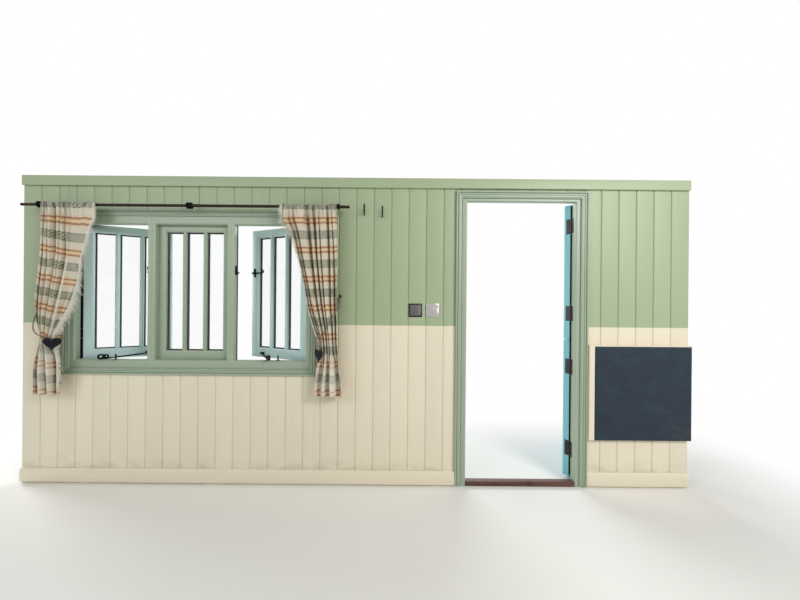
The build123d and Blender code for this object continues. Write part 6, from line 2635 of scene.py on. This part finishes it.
@dataclass
class Studio:
    """The camera at the photograph's viewing angle, soft lamps and a pale floor."""

    eye: Point = (0.257, -2.117, 1.175)
    focal_pixels: float = 325
    picture: tuple[int, int] = (800, 600)
    vanishing: Pair = (396, 302)
    roll: float = 0.0085
    sensor: float = 36
    floor_size: float = 24
    floor_height: float = -0.0005
    ambient: float = 0.32
    key_power: float = 82
    fill_power: float = 27
    outdoor_power: float = 115
    side_power: float = 100

    def camera(self) -> None:
        """A level camera that looks along +Y, rolled a little and shifted by a few pixels."""
        width, height = self.picture
        data = bpy.data.cameras.new("camera")
        data.sensor_width = self.sensor
        data.lens = self.focal_pixels / width * self.sensor
        data.shift_x = (width / 2 - self.vanishing[0]) / width
        data.shift_y = (self.vanishing[1] - height / 2) / width
        data.clip_start, data.clip_end = 0.02, 60
        camera = add_object("camera", data)
        c, s = cos(self.roll), sin(self.roll)
        camera.matrix_world = Matrix.Translation(self.eye) @ Matrix(
            ((c, -s, 0, 0), (0, 0, -1, 0), (s, c, 0, 0), (0, 0, 0, 1)))
        bpy.context.scene.camera = camera

    def lamp(self, name: str, place: Point, aim: Point, size: Pair, power: float, colour: Colour) -> None:
        """Adds a rectangular lamp that faces a point.

        Args:
            name: Its name.
            place: Where it stands.
            aim: The point that it faces.
            size: Its width and height.
            power: Its power in watts.
            colour: The colour of its light.
        """
        data = bpy.data.lights.new(name, "AREA")
        data.shape = "RECTANGLE"
        data.size, data.size_y = size
        data.energy, data.color = power, colour
        way = Vector(aim) - Vector(place)
        turned = way.to_track_quat("-Z", "Y").to_matrix().to_4x4()
        add_object(name, data).matrix_world = Matrix.Translation(place) @ turned

    def sky(self) -> None:
        """A world that lights the wall softly and shows white to the camera, in gloss and through glass."""
        world = bpy.data.worlds.new("sky")
        world.use_nodes = True
        graph = Graph(world.node_tree)
        strength = (graph.seen() > 0.5) * (1 - self.ambient) + self.ambient
        background = graph.node("Background", None, {"Color": (1, 1, 1, 1), "Strength": strength})
        graph.node("OutputWorld", None, {"Surface": background.outputs[0]})
        bpy.context.scene.world = world

    def floor(self) -> None:
        """A pale floor under everything."""
        half = self.floor_size / 2
        mesh = bpy.data.meshes.new("floor")
        corners = [(-half, -half), (half, -half), (half, half), (-half, half)]
        mesh.from_pydata([(*corner, self.floor_height) for corner in corners], [], [(0, 1, 2, 3)])
        mesh.materials.append(Workshop.material(FLOOR))
        add_object("floor", mesh)

    def build(self) -> None:
        """Sets up everything that isn't part of the wall."""
        bpy.context.scene.view_settings.view_transform = "Standard"
        self.camera()
        self.sky()
        self.floor()
        warm, cool, sky, pale = (1.0, 0.985, 0.955), (0.95, 0.985, 1.0), (0.97, 0.99, 1.0), (0.96, 0.99, 1.0)
        for lamp in (("key", (2.7, -2.9, 2.7), (0.9, 0, 1.0), (1.5, 1.1), self.key_power, warm),
                     ("fill", (-2.6, -2.8, 2.4), (-0.9, 0, 1.0), (1.8, 1.4), self.fill_power, cool),
                     ("outdoors", (0.4, 3.8, 3.6), (0, 0.1, 0.9), (3.6, 2.0), self.outdoor_power, sky),
                     ("side", (-4.8, 1.25, 1.7), (0.4, 0.15, 1.2), (1.2, 1.8), self.side_power, pale)):
            self.lamp(*lamp)


# Both curtains' edges: millimetres in from their end of the pole, and millimetres below it
LEFT_OUTER = ((121, 60), (116, 310), (97, 560), (99, 700), (124, 815), (106, 890), (81, 1020))
LEFT_INNER = ((465, 70), (436, 140), (386, 320), (366, 470), (331, 610), (276, 720), (229, 826), (254, 940),
              (260, 1060))
RIGHT_OUTER = ((68, 60), (62, 310), (67, 560), (65, 720), (63, 855), (50, 970), (30, 1110))
RIGHT_INNER = ((414, 70), (366, 160), (316, 310), (278, 466), (244, 640), (201, 780), (178, 860), (206, 1000),
               (215, 1110))

# Where their inner panels start, in the same way
LEFT_PANEL = ((316, 0), (318, 200), (312, 344), (268, 560), (213, 789), (206, 840), (221, 1000))
RIGHT_PANEL = ((296, 0), (270, 240), (256, 350), (214, 600), (162, 860), (188, 1110))

# The fringes' threads: metres below the pole, and their length there
LEFT_FRINGE = ((-0.010, 0.016), (0.20, 0.028), (0.42, 0.038), (0.58, 0.050), (0.74, 0.046), (0.80, 0.012),
               (0.88, 0.026), (1.02, 0.034), (1.12, 0.012))
RIGHT_FRINGE = ((-0.012, 0.018), (0.05, 0.036), (0.12, 0.032), (0.20, 0.018), (0.60, 0.012), (0.80, 0.008))


def build_curtains(wall: float) -> None:
    """Makes the pole, both curtains and their tiebacks.

    Args:
        wall: Y of the boards' face.
    """
    pole = Pole()
    pole.build(wall)
    ends = pole.extent
    Curtain("left_curtain_cloth", "left_curtain", pole, end=ends.x0, inward=1, outer=LEFT_OUTER,
            inner=LEFT_INNER, tie_drop=0.830, panel_places=LEFT_PANEL, fringe_places=LEFT_FRINGE,
            ridge=0.011).build()
    Curtain("right_curtain_cloth", "right_curtain", pole, end=ends.x1, inward=-1, outer=RIGHT_OUTER,
            inner=RIGHT_INNER, tie_drop=0.867, panel_places=RIGHT_PANEL, fringe_places=RIGHT_FRINGE,
            panel_cloth=0.24, panel_folds=2.0, dip=0.010, turn_in=0.2, shade=0.6, slack=0.35,
            seed=14).build()
    left_heart, right_heart, cord_step = -1.837, -0.212, 0.0112
    ties = [Tieback("left_tieback", hook=(-2.003, 1.169), shoulder=(-1.970, 0.970),
                    tied=(left_heart + cord_step, 0.930), heart_corner=(left_heart, -0.137),
                    heart_top=0.942, heart_angle=0, heart_shift=0.011, stand_off=0.0),
            Tieback("right_tieback", hook=(-0.096, 1.204), shoulder=(-0.096, 1.144),
                    tied=(right_heart - cord_step, 0.893), heart_corner=(right_heart, -0.137),
                    heart_top=0.887, heart_angle=-53, heart_shift=0.030, stand_off=0.0017)]
    cords, dark, hooks = Stock(), Stock(), Stock()
    for tie in ties:
        tie.cord((cords, dark))
        tie.wall_hook(hooks)
        tie.heart()
    cords.piece("tieback_cords_twisted", NATURAL_CORD, ("tieback_cords",), sharp=180)
    dark.piece("tieback_cords_dark_strand", NAVY_FELT, sharp=180)
    hooks.piece("tieback_hooks_forged", BLACK_IRON, ("tieback_hooks",))


def main() -> None:
    """Builds the studio and every sub-assembly of the wall in order."""
    logging.basicConfig(level=logging.INFO, format="%(name)s: %(message)s")
    Studio().build()
    Walling().build()
    Architrave("window_architrave", "rails", (Side.BOTTOM, Side.TOP), width=0.040).build()
    Architrave("door_architrave", "head", (Side.TOP,), width=0.046).build()
    Window().build()
    StableDoor().build()
    build_curtains(Extent.of("inner_boards_left").y0)
    CoatHooks().build()
    SwitchPlate("black_switch_face", "black_switch_plate", BLACK_METAL, PEWTER).build()
    SwitchPlate("chrome_switch_face", "chrome_switch_plate", CHROME, CHROME, rim=0.003).build()
    HeatShield().build()


if __name__ == "__main__":
    main()
